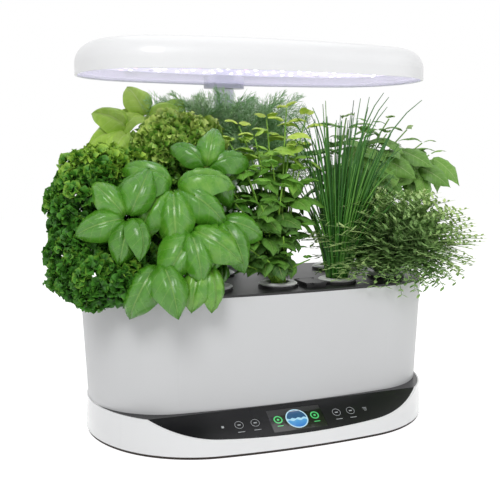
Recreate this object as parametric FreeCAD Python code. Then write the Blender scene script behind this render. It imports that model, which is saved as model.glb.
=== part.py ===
import FreeCAD
import Part
import math
import os
from collections import namedtuple
from FreeCAD import Vector

os.makedirs("parts", exist_ok=True)

# A countertop hydroponic garden, in millimetres. +Z is up, +X runs along the garden and -Y is its front.
# The origin is the middle of the face that the foot ring stands on.

Oval = namedtuple("Oval", "length depth side_radius end_radius corner_radius")

# Outlines, each an oval of large arcs: sides, ends and the corners between them
base_outline = Oval(425.0, 285.0, 840.0, 145.0, 130.0)
bowl_outline = Oval(418.0, 202.0, 1200.0, 150.0, 90.0)
slope_outline = Oval(470.0, 206.0, 6000.0, 175.0, 40.0)
hood_outline = Oval(420.0, 228.0, 620.0, 155.0, 92.0)

# Heights and walls of the base
foot_height = 3.0
foot_ring_width = 9.0
foot_ring_inset = 1.2
base_top = 41.0
base_draft = 2.0
base_wall = 2.6
tray_thickness = 2.4
seat_depth = 2.6
fit_gap = 0.2
soft_gap = 0.3

# The dark control fascia that slopes from the bowl down to the front lip
slope_rate = 0.64
slope_reach = 66.0
fascia_drop = 2.8
lip_width = 1.8
fascia_back = -18.0

# The display in the fascia and the board behind it
display_width = 65.0
display_height = 31.0
display_forward = 122.0
lens_thickness = 1.0
lens_recess = 0.25
module_width = 60.0
module_height = 26.0
module_thickness = 4.9
board_sag = 1.6
board_thickness = 1.6
control_board_width = 150.0
control_board_height = 34.0

# The bowl and the grow deck
bowl_top = 168.0
bowl_flare = 4.8
bowl_wall = 2.6
bowl_floor = 3.0
bowl_bottom_bevel = 1.6
deck_thickness = 2.4
deck_inset = 0.7
deck_skirt_depth = 10.0
deck_skirt_wall = 1.8

# The pods: a basket, a foam plug and a white collar each
pod_hole_radius = 18.0
pod_boss_width = 5.0
pod_boss_height = 2.6
basket_radius = 17.5
basket_foot_radius = 13.0
basket_wall = 1.4
basket_depth = 50.0
basket_flange_radius = 20.5
basket_flange_height = 1.6
basket_slot_width = 8.0
basket_slot_height = 26.0
basket_drain_radius = 6.0
sponge_height = 42.0
collar_radius = 22.5
collar_rim_radius = 20.5
collar_hole_radius = 13.5
collar_height = 1.6
pod_places = {
    "parsley": (-156.0, -42.0),
    "basil": (-78.0, -62.0),
    "mint": (0.0, -66.0),
    "chives": (78.0, -62.0),
    "thyme": (156.0, -42.0),
    "rear_basil": (-118.0, 38.0),
    "rear_parsley": (-40.0, 36.0),
    "dill": (40.0, 36.0),
    "thai_basil": (118.0, 38.0),
}

# The water fill port in the deck and its flap
port_x = 39.0
port_y = -72.0
port_width = 20.0
port_length = 26.0
port_frame_wall = 2.0
port_frame_height = 3.4
flap_overlap = 1.0
flap_thickness = 1.8
hinge_barrel_radius = 2.2
hinge_pin_radius = 1.0
hinge_play = 0.06
hinge_ear_length = 4.0
flap_open_angle = 95.0

# The water level float
float_x = -186.0
float_y = 32.0
float_stem_radius = 3.0
float_stem_height = 66.0
float_radius = 10.0
float_height = 12.0
float_play = 0.3
float_stop_radius = 5.0
float_stop_height = 2.5

# The pump, its riser and the plug that joins it to the base
pump_x = 0.0
pump_y = 62.0
pump_radius = 17.0
pump_stator_height = 22.0
pump_gap = 1.0
rotor_radius = 6.0
rotor_height = 12.0
rotor_play = 0.5
shaft_radius = 1.0
shaft_play = 0.05
vane_radius = 11.0
vane_height = 5.0
vane_thickness = 1.6
vane_count = 6
volute_wall = 2.0
volute_height = 9.0
volute_cap = 2.0
intake_radius = 5.0
riser_radius = 4.0
riser_wall = 1.2
filter_radius = 25.0
filter_wall = 1.6
filter_slot_count = 16
filter_slot_width = 3.0
coupler_radius = 8.0
coupler_wall = 2.2

# The telescoping arm
arm_y = 118.0
post_width = 40.0
post_depth = 22.0
post_wall = 2.4
post_top = 350.0
stage_gap = 1.1
bush_play = 0.3
mid_wall = 1.9
mid_bottom = 30.0
mid_top = 374.0
top_wall = 1.6
top_bottom = 50.0
stage_travel = 190.0
bush_height = 16.0

# The lamp hood
hood_y = 6.0
hood_bottom = 408.0
hood_height = 35.0
hood_round = 23.0
hood_wall = 2.4
lens_lift = 1.6
lens_plate_thickness = 2.0
lens_ledge = 5.0
lens_side_gap = 0.3
led_board_lift = 12.0
led_board_inset = 13.0
spreader_thickness = 2.0
led_size = 3.4
led_height = 1.0
led_clusters = 11
led_cluster_pitch = 35.0
led_column_step = 12.0
led_rows = 6
led_row_step = 27.0
head_width = 54.0
head_depth = 30.0
head_height = 28.0
head_drop = 4.0
head_pocket = 10.0

# The power inlet at the back of the base
inlet_x = 70.0
inlet_z = 18.0
inlet_size = 13.0
inlet_length = 14.0
inlet_setback = 2.8
inlet_bore_radius = 3.2
inlet_pin_radius = 1.0

# Screws
screw_radius = 1.5
screw_head_radius = 3.0
screw_head_height = 1.8
boss_radius = 4.0
base_screw_places = [(-165, -60), (165, -60), (-165, 60), (165, 60), (-70, -70), (70, -70)]
hood_screw_places = [(-150, -40), (-50, -62), (50, -62), (150, -40), (-110, 62), (110, 62)]


# Plain geometry
def smaller(oval, inset):
    """The same oval drawn in all round, on the same arc centres."""
    return Oval(
        oval.length - 2 * inset,
        oval.depth - 2 * inset,
        oval.side_radius - inset,
        oval.end_radius - inset,
        oval.corner_radius - inset,
    )


def corner_points(oval):
    """Where the right front corner arc meets the side arc and the end arc, and the corner's middle."""
    side_centre = Vector(0, oval.side_radius - oval.depth / 2, 0)
    end_centre = Vector(oval.length / 2 - oval.end_radius, 0, 0)
    from_side = oval.side_radius - oval.corner_radius
    from_end = oval.end_radius - oval.corner_radius
    between = end_centre - side_centre
    gap = between.Length
    along = (from_side**2 - from_end**2 + gap**2) / (2 * gap)
    across = math.sqrt(max(from_side**2 - along**2, 0.0))
    unit = between * (1 / gap)
    normal = Vector(-unit.y, unit.x, 0)
    options = [side_centre + unit * along + normal * across * s for s in (1, -1)]
    centre = max(options, key=lambda p: p.x - p.y)
    on_side = centre + (centre - side_centre).normalize() * oval.corner_radius
    on_end = centre + (centre - end_centre).normalize() * oval.corner_radius
    outward = ((on_side + on_end) * 0.5 - centre).normalize()
    return on_side, centre + outward * oval.corner_radius, on_end


def oval_wire(oval, z, y=0.0):
    on_side, middle, on_end = corner_points(oval)
    half_length, half_depth = oval.length / 2, oval.depth / 2

    def at(point, flip_x=1, flip_y=1):
        return Vector(point.x * flip_x, point.y * flip_y + y, z)

    front, back = Vector(0, -half_depth, 0), Vector(0, half_depth, 0)
    right, left = Vector(half_length, 0, 0), Vector(-half_length, 0, 0)
    arcs = [
        (at(on_side, -1), at(front), at(on_side)),
        (at(on_side), at(middle), at(on_end)),
        (at(on_end), at(right), at(on_end, 1, -1)),
        (at(on_end, 1, -1), at(middle, 1, -1), at(on_side, 1, -1)),
        (at(on_side, 1, -1), at(back), at(on_side, -1, -1)),
        (at(on_side, -1, -1), at(middle, -1, -1), at(on_end, -1, -1)),
        (at(on_end, -1, -1), at(left), at(on_end, -1)),
        (at(on_end, -1), at(middle, -1), at(on_side, -1)),
    ]
    return Part.Wire([Part.Arc(*arc).toShape() for arc in arcs])


def oval_prism(oval, low, high, y=0.0):
    return Part.Face(oval_wire(oval, low, y)).extrude(Vector(0, 0, high - low))


def oval_taper(sections, y=0.0):
    """A solid whose walls run straight from each (oval, height) to the next."""
    return Part.makeLoft([oval_wire(oval, z, y) for oval, z in sections], True, True)


def pill_prism(width, depth, low, high, x=0.0, y=0.0):
    """A bar along X with round ends, as the arm's tubes are."""
    straight = width / 2 - depth / 2
    corners = [
        Vector(x + side * straight, y + edge * depth / 2, low)
        for side, edge in ((-1, -1), (1, -1), (1, 1), (-1, 1))
    ]
    wire = Part.Wire(
        [
            Part.makeLine(corners[0], corners[1]),
            Part.Arc(corners[1], Vector(x + width / 2, y, low), corners[2]).toShape(),
            Part.makeLine(corners[2], corners[3]),
            Part.Arc(corners[3], Vector(x - width / 2, y, low), corners[0]).toShape(),
        ]
    )
    return Part.Face(wire).extrude(Vector(0, 0, high - low))


def rod(radius, low, high, x=0.0, y=0.0):
    return Part.makeCylinder(radius, high - low, Vector(x, y, low))


def ring(outer, inner, low, high, x=0.0, y=0.0):
    return rod(outer, low, high, x, y).cut(rod(inner, low - 1, high + 1, x, y))


def block(width, depth, height, centre_x, centre_y, low):
    corner = Vector(centre_x - width / 2, centre_y - depth / 2, low)
    return Part.makeBox(width, depth, height, corner)


def joined(shapes):
    if len(shapes) == 1:
        return shapes[0]
    return shapes[0].multiFuse(shapes[1:]).removeSplitter()


def lowered(shape, drop):
    return shape.translated(Vector(0, 0, -drop))


def save(name, shape):
    solids = shape.Solids
    kept = solids[0] if len(solids) == 1 else Part.makeCompound(solids)
    kept.exportStep("parts/" + name + ".step")


# The base
seat_top = base_top - seat_depth
base_inner_top = base_top - fascia_drop - base_wall - fit_gap
tray_top = foot_height + tray_thickness
slope_angle = math.atan(slope_rate)


def under_slope(drop=0.0):
    """Everything under the sloping front, with the back half left at full height."""
    flared = smaller(slope_outline, -slope_reach)
    front = oval_taper([(flared, base_top - slope_reach * slope_rate), (slope_outline, base_top)])
    back = Part.makeBox(2 * base_outline.length, base_outline.depth, 2 * base_top)
    back.translate(Vector(-base_outline.length, 0, -base_top))
    return lowered(front.fuse(back), drop)


def base_block(inset=0.0, low=foot_height, high=base_top):
    rise = (high - foot_height) / (base_top - foot_height)
    bottom = smaller(base_outline, inset)
    top = smaller(base_outline, inset + base_draft * rise)
    return oval_taper([(bottom, low), (top, high)])


def bowl_seat():
    return oval_prism(smaller(bowl_outline, -fit_gap), seat_top, base_top + 1)


def fascia_zone(gap=0.0):
    """The crescent between the sloping surface and the same surface lowered."""
    crescent = base_block(lip_width + gap).common(under_slope())
    crescent = crescent.cut(under_slope(fascia_drop - gap)).cut(bowl_seat())
    back = Part.makeBox(2 * base_outline.length, base_outline.depth, 2 * base_top)
    back.translate(Vector(-base_outline.length, fascia_back, -base_top / 2))
    return crescent.cut(back)


def slope_place(depth_below, width, height, thickness):
    """A plate that lies in the slope at the display, depth_below under its surface."""
    plate = Part.makeBox(width, height, thickness, Vector(-width / 2, -height / 2, -thickness))
    plate.translate(Vector(0, 0, -depth_below))
    plate.rotate(Vector(0, 0, 0), Vector(1, 0, 0), math.degrees(slope_angle))
    surface = base_top - (display_forward - slope_outline.depth / 2) * slope_rate
    plate.translate(Vector(0, -display_forward, surface))
    return plate


module_depth = lens_recess + lens_thickness + fit_gap
under_ceiling = (fascia_drop + base_wall + fit_gap) * math.cos(slope_angle) + board_sag
board_depth = max(under_ceiling, module_depth + module_thickness)


def display_window():
    return slope_place(-1, module_width + 2 * fit_gap, module_height + 2 * fit_gap, 12)


inlet_back = base_outline.depth / 2 - base_draft - base_wall - inlet_setback


def inlet_block(low, high):
    return block(inlet_size, inlet_length, high - low, inlet_x, inlet_back - inlet_length / 2, low)


def inlet_bore(radius, start, length):
    return Part.makeCylinder(radius, length, Vector(inlet_x, inlet_back + start, inlet_z), Vector(0, 1, 0))


def base_shell():
    outer = base_block().common(under_slope())
    room = oval_taper(
        [
            (smaller(base_outline, base_wall), foot_height - 1),
            (smaller(base_outline, base_wall + base_draft), base_top),
        ]
    ).common(lowered(under_slope(), fascia_drop + base_wall))
    ceiling = oval_prism(base_outline, foot_height - 2, base_inner_top)
    shell = outer.cut(room.common(ceiling)).cut(fascia_zone()).cut(bowl_seat())
    shell = shell.cut(display_window())
    bosses = [rod(boss_radius, tray_top, base_inner_top + 1, x, y) for x, y in base_screw_places]
    shell = joined([shell, *bosses])
    cuts = [rod(screw_radius, tray_top - 1, tray_top + 13, x, y) for x, y in base_screw_places]
    cuts.append(
        pill_prism(post_width + 2 * fit_gap, post_depth + 2 * fit_gap, foot_height, base_top + 1, 0, arm_y)
    )
    cuts.append(rod(coupler_radius + coupler_wall + fit_gap, foot_height, base_top, pump_x, pump_y))
    cuts.append(inlet_bore(inlet_bore_radius + 2, 0, 12))
    for cut in cuts:
        shell = shell.cut(cut)
    return shell


def control_fascia():
    pocket = slope_place(-1, display_width + 2 * fit_gap, display_height + 2 * fit_gap, module_depth + 1)
    return fascia_zone(fit_gap / 2).cut(pocket).cut(display_window())


def base_tray():
    tray = oval_prism(smaller(base_outline, base_wall + fit_gap), foot_height, tray_top)
    post = pill_prism(
        post_width - 2 * post_wall - 2 * fit_gap,
        post_depth - 2 * post_wall - 2 * fit_gap,
        tray_top,
        tray_top + 8,
        0,
        arm_y,
    )
    socket_foot = rod(coupler_radius, tray_top, seat_top - 12, pump_x, pump_y)
    inlet_foot = inlet_block(tray_top, inlet_z - inlet_size / 2)
    tray = joined([tray, post, socket_foot, inlet_foot])
    for x, y in base_screw_places:
        tray = tray.cut(rod(screw_radius + fit_gap, foot_height - 1, tray_top + 1, x, y))
        tray = tray.cut(rod(screw_head_radius + fit_gap, foot_height - 1, foot_height + 0.9, x, y))
    return tray


def foot_ring():
    outer = smaller(base_outline, foot_ring_inset)
    inner = smaller(outer, foot_ring_width)
    return oval_prism(outer, 0, foot_height).cut(oval_prism(inner, -1, foot_height + 1))


def screw(x, y, head_low, length, upward=True):
    """A pan head screw that stands on its head."""
    head = rod(screw_head_radius, head_low, head_low + screw_head_height, x, y)
    shank = rod(screw_radius - fit_gap / 2, head_low, head_low + length, x, y)
    slot = block(0.8, 4 * screw_head_radius, 0.8, x, y, head_low - 0.2)
    return head.fuse(shank).cut(slot)


def base_screws():
    low = foot_height + 0.9 - screw_head_height
    return Part.makeCompound([screw(x, y, low, 13) for x, y in base_screw_places])


def power_inlet():
    body = inlet_block(inlet_z - inlet_size / 2, inlet_z + inlet_size / 2)
    body = body.cut(inlet_bore(inlet_bore_radius, -9, 10))
    pin = inlet_bore(inlet_pin_radius, -10, 9)
    return body.fuse(pin)


# The bowl, the grow deck and what is in them
bowl_top_outline = smaller(bowl_outline, -bowl_flare)
water_floor = seat_top + bowl_floor


def bowl_size_at(z):
    """The bowl's outer oval at a height."""
    share = (z - seat_top) / (bowl_top - seat_top)
    return smaller(bowl_outline, -bowl_flare * share)


def bowl():
    outer = oval_taper(
        [
            (smaller(bowl_outline, bowl_bottom_bevel), seat_top),
            (bowl_size_at(seat_top + bowl_bottom_bevel), seat_top + bowl_bottom_bevel),
            (bowl_top_outline, bowl_top),
        ]
    )
    inner = oval_taper(
        [
            (smaller(bowl_size_at(water_floor), bowl_wall), water_floor),
            (smaller(bowl_top_outline, bowl_wall), bowl_top),
        ]
    )
    rim_cut = oval_prism(smaller(bowl_top_outline, bowl_wall), bowl_top - 0.1, bowl_top + 1)
    shell = outer.cut(inner).cut(rim_cut)
    stem_boss = rod(float_stem_radius + 2, water_floor - 1, water_floor + 3, float_x, float_y)
    shell = joined([shell, stem_boss])
    shell = shell.cut(rod(float_stem_radius - 1, water_floor - 0.5, water_floor + 4, float_x, float_y))
    return shell.cut(rod(coupler_radius + fit_gap, seat_top - 1, water_floor + 1, pump_x, pump_y))


deck_low = bowl_top
deck_top = deck_low + deck_thickness
pod_seat = deck_top + pod_boss_height


def fill_port(gap, low, high):
    width, length = port_width + 2 * gap, port_length + 2 * gap
    return block(width, length, high - low, port_x, port_y, low)


flap_low = deck_top + port_frame_height
hinge_y = port_y + port_length / 2 + port_frame_wall + hinge_barrel_radius + 1.2
hinge_z = flap_low + flap_thickness - hinge_barrel_radius + 0.4
hinge_length = port_width + 2 * port_frame_wall


def along_x(radius, start, length):
    return Part.makeCylinder(radius, length, Vector(port_x + start, hinge_y, hinge_z), Vector(1, 0, 0))


def hinge_ears():
    """Two ears on the deck, one each end of the flap's barrel."""
    ears = []
    for side in (-1, 1):
        start = side * (hinge_length / 2 - hinge_ear_length / 2) - hinge_ear_length / 2
        ear = along_x(hinge_barrel_radius, start, hinge_ear_length)
        leg = block(
            hinge_ear_length,
            2 * hinge_barrel_radius,
            hinge_z - deck_top + 0.5,
            port_x + start + hinge_ear_length / 2,
            hinge_y,
            deck_top - 0.5,
        )
        ears.append(ear.fuse(leg))
    return ears


def grow_deck():
    plate = oval_prism(smaller(bowl_top_outline, deck_inset), deck_low, deck_top)
    skirt_outer = smaller(bowl_top_outline, bowl_wall + 1.0)
    skirt = oval_prism(skirt_outer, deck_low - deck_skirt_depth, deck_low + 0.5)
    skirt = skirt.cut(
        oval_prism(smaller(skirt_outer, deck_skirt_wall), deck_low - deck_skirt_depth - 1, deck_low)
    )
    bosses = [
        rod(pod_hole_radius + pod_boss_width, deck_top - 0.5, pod_seat, x, y)
        for x, y in pod_places.values()
    ]
    frame = fill_port(port_frame_wall, deck_top - 0.5, flap_low)
    riser_boss = ring(
        riser_radius + 3, riser_radius + fit_gap, deck_low - 8, deck_low + 0.5, pump_x, pump_y + vane_radius + 4
    )
    deck = joined([plate, skirt, *bosses, frame, riser_boss, *hinge_ears()])
    for x, y in pod_places.values():
        deck = deck.cut(rod(pod_hole_radius, deck_low - 1, pod_seat + 1, x, y))
    deck = deck.cut(fill_port(0, deck_low - 1, flap_low + 1))
    return deck.cut(along_x(hinge_pin_radius, -hinge_length, 2 * hinge_length))


def fill_flap():
    width = port_width + 2 * port_frame_wall + 2 * flap_overlap
    front = port_y - port_length / 2 - port_frame_wall - flap_overlap
    lid_low = flap_low + fit_gap
    lid = Part.makeBox(width, hinge_y - front, flap_thickness, Vector(port_x - width / 2, front, lid_low))
    lip = Part.makeBox(10, 2.5, flap_thickness, Vector(port_x - 5, front - 2.5, lid_low))
    barrel_length = hinge_length - 2 * hinge_ear_length - 2 * soft_gap
    barrel = along_x(hinge_barrel_radius, -barrel_length / 2, barrel_length)
    notch = hinge_ear_length + soft_gap + flap_overlap
    flap = joined([lid, lip, barrel])
    for side in (-1, 1):
        ear_room = block(
            notch + 1,
            4 * hinge_barrel_radius + 2,
            20,
            port_x + side * (width / 2 - notch / 2 + 0.5),
            hinge_y,
            lid_low - 10,
        )
        flap = flap.cut(ear_room)
    return flap.cut(along_x(hinge_pin_radius + hinge_play, -hinge_length, 2 * hinge_length))


def flap_pin():
    return along_x(hinge_pin_radius - 0.02, -hinge_length / 2, hinge_length)


basket_top = pod_seat + basket_flange_height
sponge_top = basket_top - 1.0


def basket():
    low = pod_seat - basket_depth
    body = Part.makeCone(basket_foot_radius, basket_radius, basket_depth, Vector(0, 0, low))
    body = body.fuse(rod(basket_flange_radius, pod_seat, basket_top))
    hollow = Part.makeCone(
        basket_foot_radius - basket_wall,
        basket_radius - basket_wall,
        basket_depth - basket_wall + basket_flange_height,
        Vector(0, 0, low + basket_wall),
    )
    body = body.cut(hollow).cut(rod(basket_drain_radius, low - 1, low + 5))
    slot_low = low + 8
    for width, depth in ((basket_slot_width, 3 * basket_radius), (3 * basket_radius, basket_slot_width)):
        body = body.cut(block(width, depth, basket_slot_height, 0, 0, slot_low))
    return body


def sponge():
    """The foam plug follows the basket's taper, a soft gap inside its wall."""
    low = sponge_top - sponge_height
    taper_low = pod_seat - basket_depth + basket_wall
    rate = (basket_radius - basket_foot_radius) / (basket_depth - basket_wall + basket_flange_height)
    inner = basket_foot_radius - basket_wall - soft_gap
    return Part.makeCone(
        inner + rate * (low - taper_low), inner + rate * (sponge_top - taper_low), sponge_height, Vector(0, 0, low)
    )


def collar():
    disc = Part.makeCone(collar_radius, collar_rim_radius, collar_height, Vector(0, 0, basket_top))
    return disc.cut(rod(collar_hole_radius, basket_top - 1, basket_top + collar_height + 1))


def at_pods(shape):
    return Part.makeCompound([shape.translated(Vector(x, y, 0)) for x, y in pod_places.values()])


float_low = water_floor + 3 + soft_gap
float_range = float_stem_height - 3 - float_height - float_stop_height - 2 * soft_gap


def float_stem():
    stem = rod(float_stem_radius, water_floor + 3, water_floor + float_stem_height, float_x, float_y)
    root = rod(float_stem_radius - 1 - 0.05, water_floor, water_floor + 4, float_x, float_y)
    stop_low = water_floor + float_stem_height - float_stop_height
    stop = rod(float_stop_radius, stop_low, water_floor + float_stem_height, float_x, float_y)
    return joined([stem, root, stop])


def level_float():
    return ring(
        float_radius, float_stem_radius + float_play, float_low, float_low + float_height, float_x, float_y
    )


pump_low = water_floor + coupler_wall + fit_gap
pump_top = pump_low + pump_stator_height
volute_low = pump_top
volute_top = volute_low + volute_height + volute_cap
rotor_low = pump_top - rotor_height


def pump_body():
    can = rod(pump_radius, pump_low, pump_top, pump_x, pump_y)
    can = can.cut(rod(rotor_radius + rotor_play, rotor_low - rotor_play, pump_top + 1, pump_x, pump_y))
    return can.cut(rod(shaft_radius, rotor_low - 5, pump_top, pump_x, pump_y))


def impeller_shaft():
    return rod(shaft_radius - 0.02, rotor_low - 5, volute_top - 1, pump_x, pump_y)


def impeller():
    rotor = rod(rotor_radius, rotor_low, pump_top + 1, pump_x, pump_y)
    disc = rod(vane_radius, pump_top + 1, pump_top + 2.5, pump_x, pump_y)
    hub = rod(shaft_radius + 1.6, pump_top, pump_top + 2.5 + vane_height, pump_x, pump_y)
    vanes = []
    for n in range(vane_count):
        vane = block(vane_radius - 1, vane_thickness, vane_height + 0.5, (vane_radius + 1) / 2 - 0.5, 0, pump_top + 2)
        vane.rotate(Vector(0, 0, 0), Vector(0, 0, 1), 360.0 * n / vane_count)
        vanes.append(vane.translated(Vector(pump_x, pump_y, 0)))
    wheel = joined([rotor, disc, hub, *vanes])
    return wheel.cut(rod(shaft_radius + shaft_play, rotor_low - 1, volute_top, pump_x, pump_y))


spout_y = pump_y + vane_radius + 4


def pump_cover():
    """The volute cap: a ring round the vanes, a roof with the intake and a spout for the riser."""
    room = vane_radius + 1
    cover = rod(room + volute_wall, volute_low, volute_top, pump_x, pump_y)
    spout_outer = riser_radius + riser_wall
    cover = cover.fuse(rod(spout_outer + 1.5, volute_low, volute_top, pump_x, spout_y))
    cover = cover.cut(rod(room, volute_low - 1, volute_top - volute_cap, pump_x, pump_y))
    intake = ring(intake_radius, shaft_radius + 1.2, volute_top - volute_cap - 1, volute_top + 1, pump_x, pump_y)
    bridge = block(2 * intake_radius + 2, 1.6, 8, pump_x, pump_y, volute_top - 4)
    cover = cover.cut(intake.cut(bridge))
    cover = cover.cut(rod(shaft_radius, volute_top - volute_cap - 1, volute_top - 1, pump_x, pump_y))
    cover = cover.cut(rod(riser_radius - riser_wall, volute_low + 2, volute_top + 1, pump_x, spout_y))
    return cover.cut(rod(riser_radius, volute_top - 4, volute_top + 1, pump_x, spout_y))


def riser_tube():
    low, high = volute_top - 4 + 0.1, deck_low - 0.5
    return ring(riser_radius - 0.05, riser_radius - riser_wall, low, high, pump_x, spout_y)


def pump_filter():
    """A slotted basket that drops over the pump and stands on the bowl's floor."""
    high = volute_top + 4
    cage = rod(filter_radius, water_floor, high, pump_x, pump_y)
    cage = cage.cut(rod(filter_radius - filter_wall, water_floor - 1, high - filter_wall, pump_x, pump_y))
    for n in range(filter_slot_count):
        slot = block(2 * filter_wall + 6, filter_slot_width, high - water_floor - 10, filter_radius, 0, water_floor + 4)
        slot.rotate(Vector(0, 0, 0), Vector(0, 0, 1), 360.0 * n / filter_slot_count)
        cage = cage.cut(slot.translated(Vector(pump_x, pump_y, 0)))
    return cage.cut(rod(riser_radius + 1, high - 6, high + 1, pump_x, spout_y))


def bowl_plug():
    """The sealed plug under the pump, through the bowl's floor into the socket in the base."""
    body = rod(coupler_radius, seat_top - 4, pump_low, pump_x, pump_y)
    flange = rod(coupler_radius + coupler_wall, water_floor, pump_low, pump_x, pump_y)
    return body.fuse(flange)


def base_socket():
    low = seat_top - 12
    cup = rod(coupler_radius + coupler_wall, low, seat_top - 0.4, pump_x, pump_y)
    return cup.cut(rod(coupler_radius + fit_gap, seat_top - 4 - soft_gap, seat_top + 1, pump_x, pump_y))


# The arm
def tube(width, depth, wall, low, high):
    outer = pill_prism(width, depth, low, high, 0, arm_y)
    return outer.cut(pill_prism(width - 2 * wall, depth - 2 * wall, low - 1, high + 1, 0, arm_y))


mid_width = post_width - 2 * post_wall - 2 * stage_gap
mid_depth = post_depth - 2 * post_wall - 2 * stage_gap
top_width = mid_width - 2 * mid_wall - 2 * stage_gap
top_depth = mid_depth - 2 * mid_wall - 2 * stage_gap


def arm_post():
    return tube(post_width, post_depth, post_wall, tray_top, post_top)


def arm_mid():
    return tube(mid_width, mid_depth, mid_wall, mid_bottom, mid_top)


def arm_top():
    return tube(top_width, top_depth, top_wall, top_bottom, head_low + head_pocket - fit_gap)


def guide_bush(width, depth, high):
    """Fixed in the mouth of a tube, round the stage that slides through it."""
    return tube(width, depth, stage_gap - bush_play, high - bush_height, high)


def slide_shoe(width, depth, low):
    """Fixed round the foot of a sliding stage."""
    reach = 2 * (stage_gap - bush_play)
    return tube(width + reach, depth + reach, stage_gap - bush_play - 0.02, low, low + bush_height)


head_low = hood_bottom - head_drop


def arm_head():
    head = pill_prism(head_width, head_depth, head_low, head_low + head_height, 0, arm_y)
    top_edges = [e for e in head.Edges if min(v.Z for v in e.Vertexes) > head_low + head_height - 0.1]
    head = head.makeFillet(6.0, top_edges)
    gap = 2 * fit_gap
    return head.cut(
        pill_prism(top_width + gap, top_depth + gap, head_low - 1, head_low + head_pocket, 0, arm_y)
    )


# The lamp hood
def hood_form(inset, low, high, round_radius):
    form = oval_prism(smaller(hood_outline, inset), low, high, hood_y)
    top_edges = [e for e in form.Edges if min(v.Z for v in e.Vertexes) > high - 0.1]
    return form.makeFillet(round_radius, top_edges)


hood_top = hood_bottom + hood_height
lens_low = hood_bottom + lens_lift
board_low = hood_bottom + led_board_lift
spreader_low = board_low + board_thickness + 0.1
spreader_top = spreader_low + spreader_thickness


def head_room(low=0.0, high=500.0):
    return pill_prism(head_width + 2 * soft_gap, head_depth + 2 * soft_gap, low, high, 0, arm_y)


def hood_shell():
    outer = hood_form(0, hood_bottom, hood_top, hood_round)
    inner = hood_form(hood_wall, hood_bottom - 1, hood_top - hood_wall, hood_round - hood_wall)
    ledge_low = lens_low + lens_plate_thickness + 0.1
    ledge = oval_prism(smaller(hood_outline, hood_wall - 0.5), ledge_low, ledge_low + 1.6, hood_y)
    ledge = ledge.cut(
        oval_prism(smaller(hood_outline, hood_wall + lens_ledge), ledge_low - 1, ledge_low + 3, hood_y)
    )
    bosses = [
        rod(boss_radius, spreader_top + 0.1, hood_top - hood_wall + 1, x, y + hood_y)
        for x, y in hood_screw_places
    ]
    shell = joined([outer.cut(inner), ledge, *bosses])
    for x, y in hood_screw_places:
        shell = shell.cut(rod(screw_radius, spreader_top - 1, spreader_top + 10, x, y + hood_y))
    return shell.cut(head_room(0, head_low + head_height + soft_gap))


def hood_lens():
    inset = hood_wall + lens_side_gap
    plate = oval_prism(smaller(hood_outline, inset), lens_low, lens_low + lens_plate_thickness, hood_y)
    return plate.cut(head_room())


def flat_layer(inset, low, thickness):
    """A board or plate inside the hood, with a notch for the arm head and the screw holes."""
    layer = oval_prism(smaller(hood_outline, inset), low, low + thickness, hood_y)
    for x, y in hood_screw_places:
        layer = layer.cut(rod(screw_radius + fit_gap, low - 1, low + thickness + 1, x, y + hood_y))
    return layer.cut(head_room())


def led_places():
    """Pairs of columns in clusters along the hood, kept clear of the edge, the screws and the head."""
    edge = oval_prism(smaller(hood_outline, led_board_inset + led_size), 0, 1, hood_y)
    places = []
    for cluster in range(led_clusters):
        middle = (cluster - (led_clusters - 1) / 2) * led_cluster_pitch
        for column in (-1, 1):
            for row in range(led_rows):
                x = middle + column * led_column_step / 2
                y = hood_y + (row - (led_rows - 1) / 2) * led_row_step
                near_screw = any(
                    math.hypot(x - sx, y - sy - hood_y) < screw_head_radius + led_size
                    for sx, sy in hood_screw_places
                )
                near_head = abs(x) < head_width / 2 + led_size and y > arm_y - head_depth / 2 - led_size
                if edge.isInside(Vector(x, y, 0.5), 0.01, True) and not near_screw and not near_head:
                    places.append((cluster, column, row, x, y))
    return places


def led_colour(cluster, column, row):
    if (cluster + 2 * row + column) % 7 == 3:
        return "red"
    return "blue" if (3 * cluster + row - column) % 9 == 4 else "white"


def leds(colour):
    low = board_low - led_height
    return Part.makeCompound(
        [
            block(led_size, led_size, led_height, x, y, low)
            for cluster, column, row, x, y in led_places()
            if led_colour(cluster, column, row) == colour
        ]
    )


def hood_screws():
    low = board_low - screw_head_height
    return Part.makeCompound([screw(x, y + hood_y, low, 12) for x, y in hood_screw_places])


# The herbs
root_z = sponge_top
golden_turn = math.pi * (3 - math.sqrt(5))


def from_root(name, lean_x=0.0, lean_y=0.0):
    x, y = pod_places[name]
    return Vector(x + lean_x, y + lean_y, root_z)


def hexagon(centre, radius):
    corners = []
    for n in range(6):
        turn = n * math.pi / 3
        corners.append(centre + Vector(radius * math.cos(turn), radius * math.sin(turn), 0))
    return Part.makePolygon([*corners, corners[0]])


def stalk(start, end, start_radius, end_radius):
    """A tapered six-sided stalk that stands flat on the foam."""
    return Part.makeLoft([hexagon(start, start_radius), hexagon(end, end_radius)], True, True)


def apart(one, other, gap=soft_gap):
    box = one.BoundBox
    box.enlarge(gap)
    return not box.intersect(other.BoundBox) or one.distToShape(other)[0] >= gap


def clear_of(solids, others):
    """The solids that stay a soft gap away from every solid of the other plants."""
    neighbours = [solid for other in others for solid in other.Solids]
    return [solid for solid in solids if all(apart(solid, one) for one in neighbours)]


def crown(centre, reach, lump, count, top=1.0, bottom=-1.0):
    """Balls on a golden-angle spiral over an ellipsoid, from its top share to its bottom share."""
    balls = []
    for n in range(count):
        up = top + (bottom - top) * (n + 0.5) / count
        out = math.sqrt(1 - up * up)
        turn = n * golden_turn
        balls.append(
            (
                centre[0] + (reach[0] - lump) * out * math.cos(turn),
                centre[1] + (reach[1] - lump) * out * math.sin(turn),
                centre[2] + (reach[2] - lump) * up,
                lump,
            )
        )
    return balls


def mound(balls, grow=0.0):
    return joined([Part.makeSphere(r + grow, Vector(x, y, z)) for x, y, z, r in balls])


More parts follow.
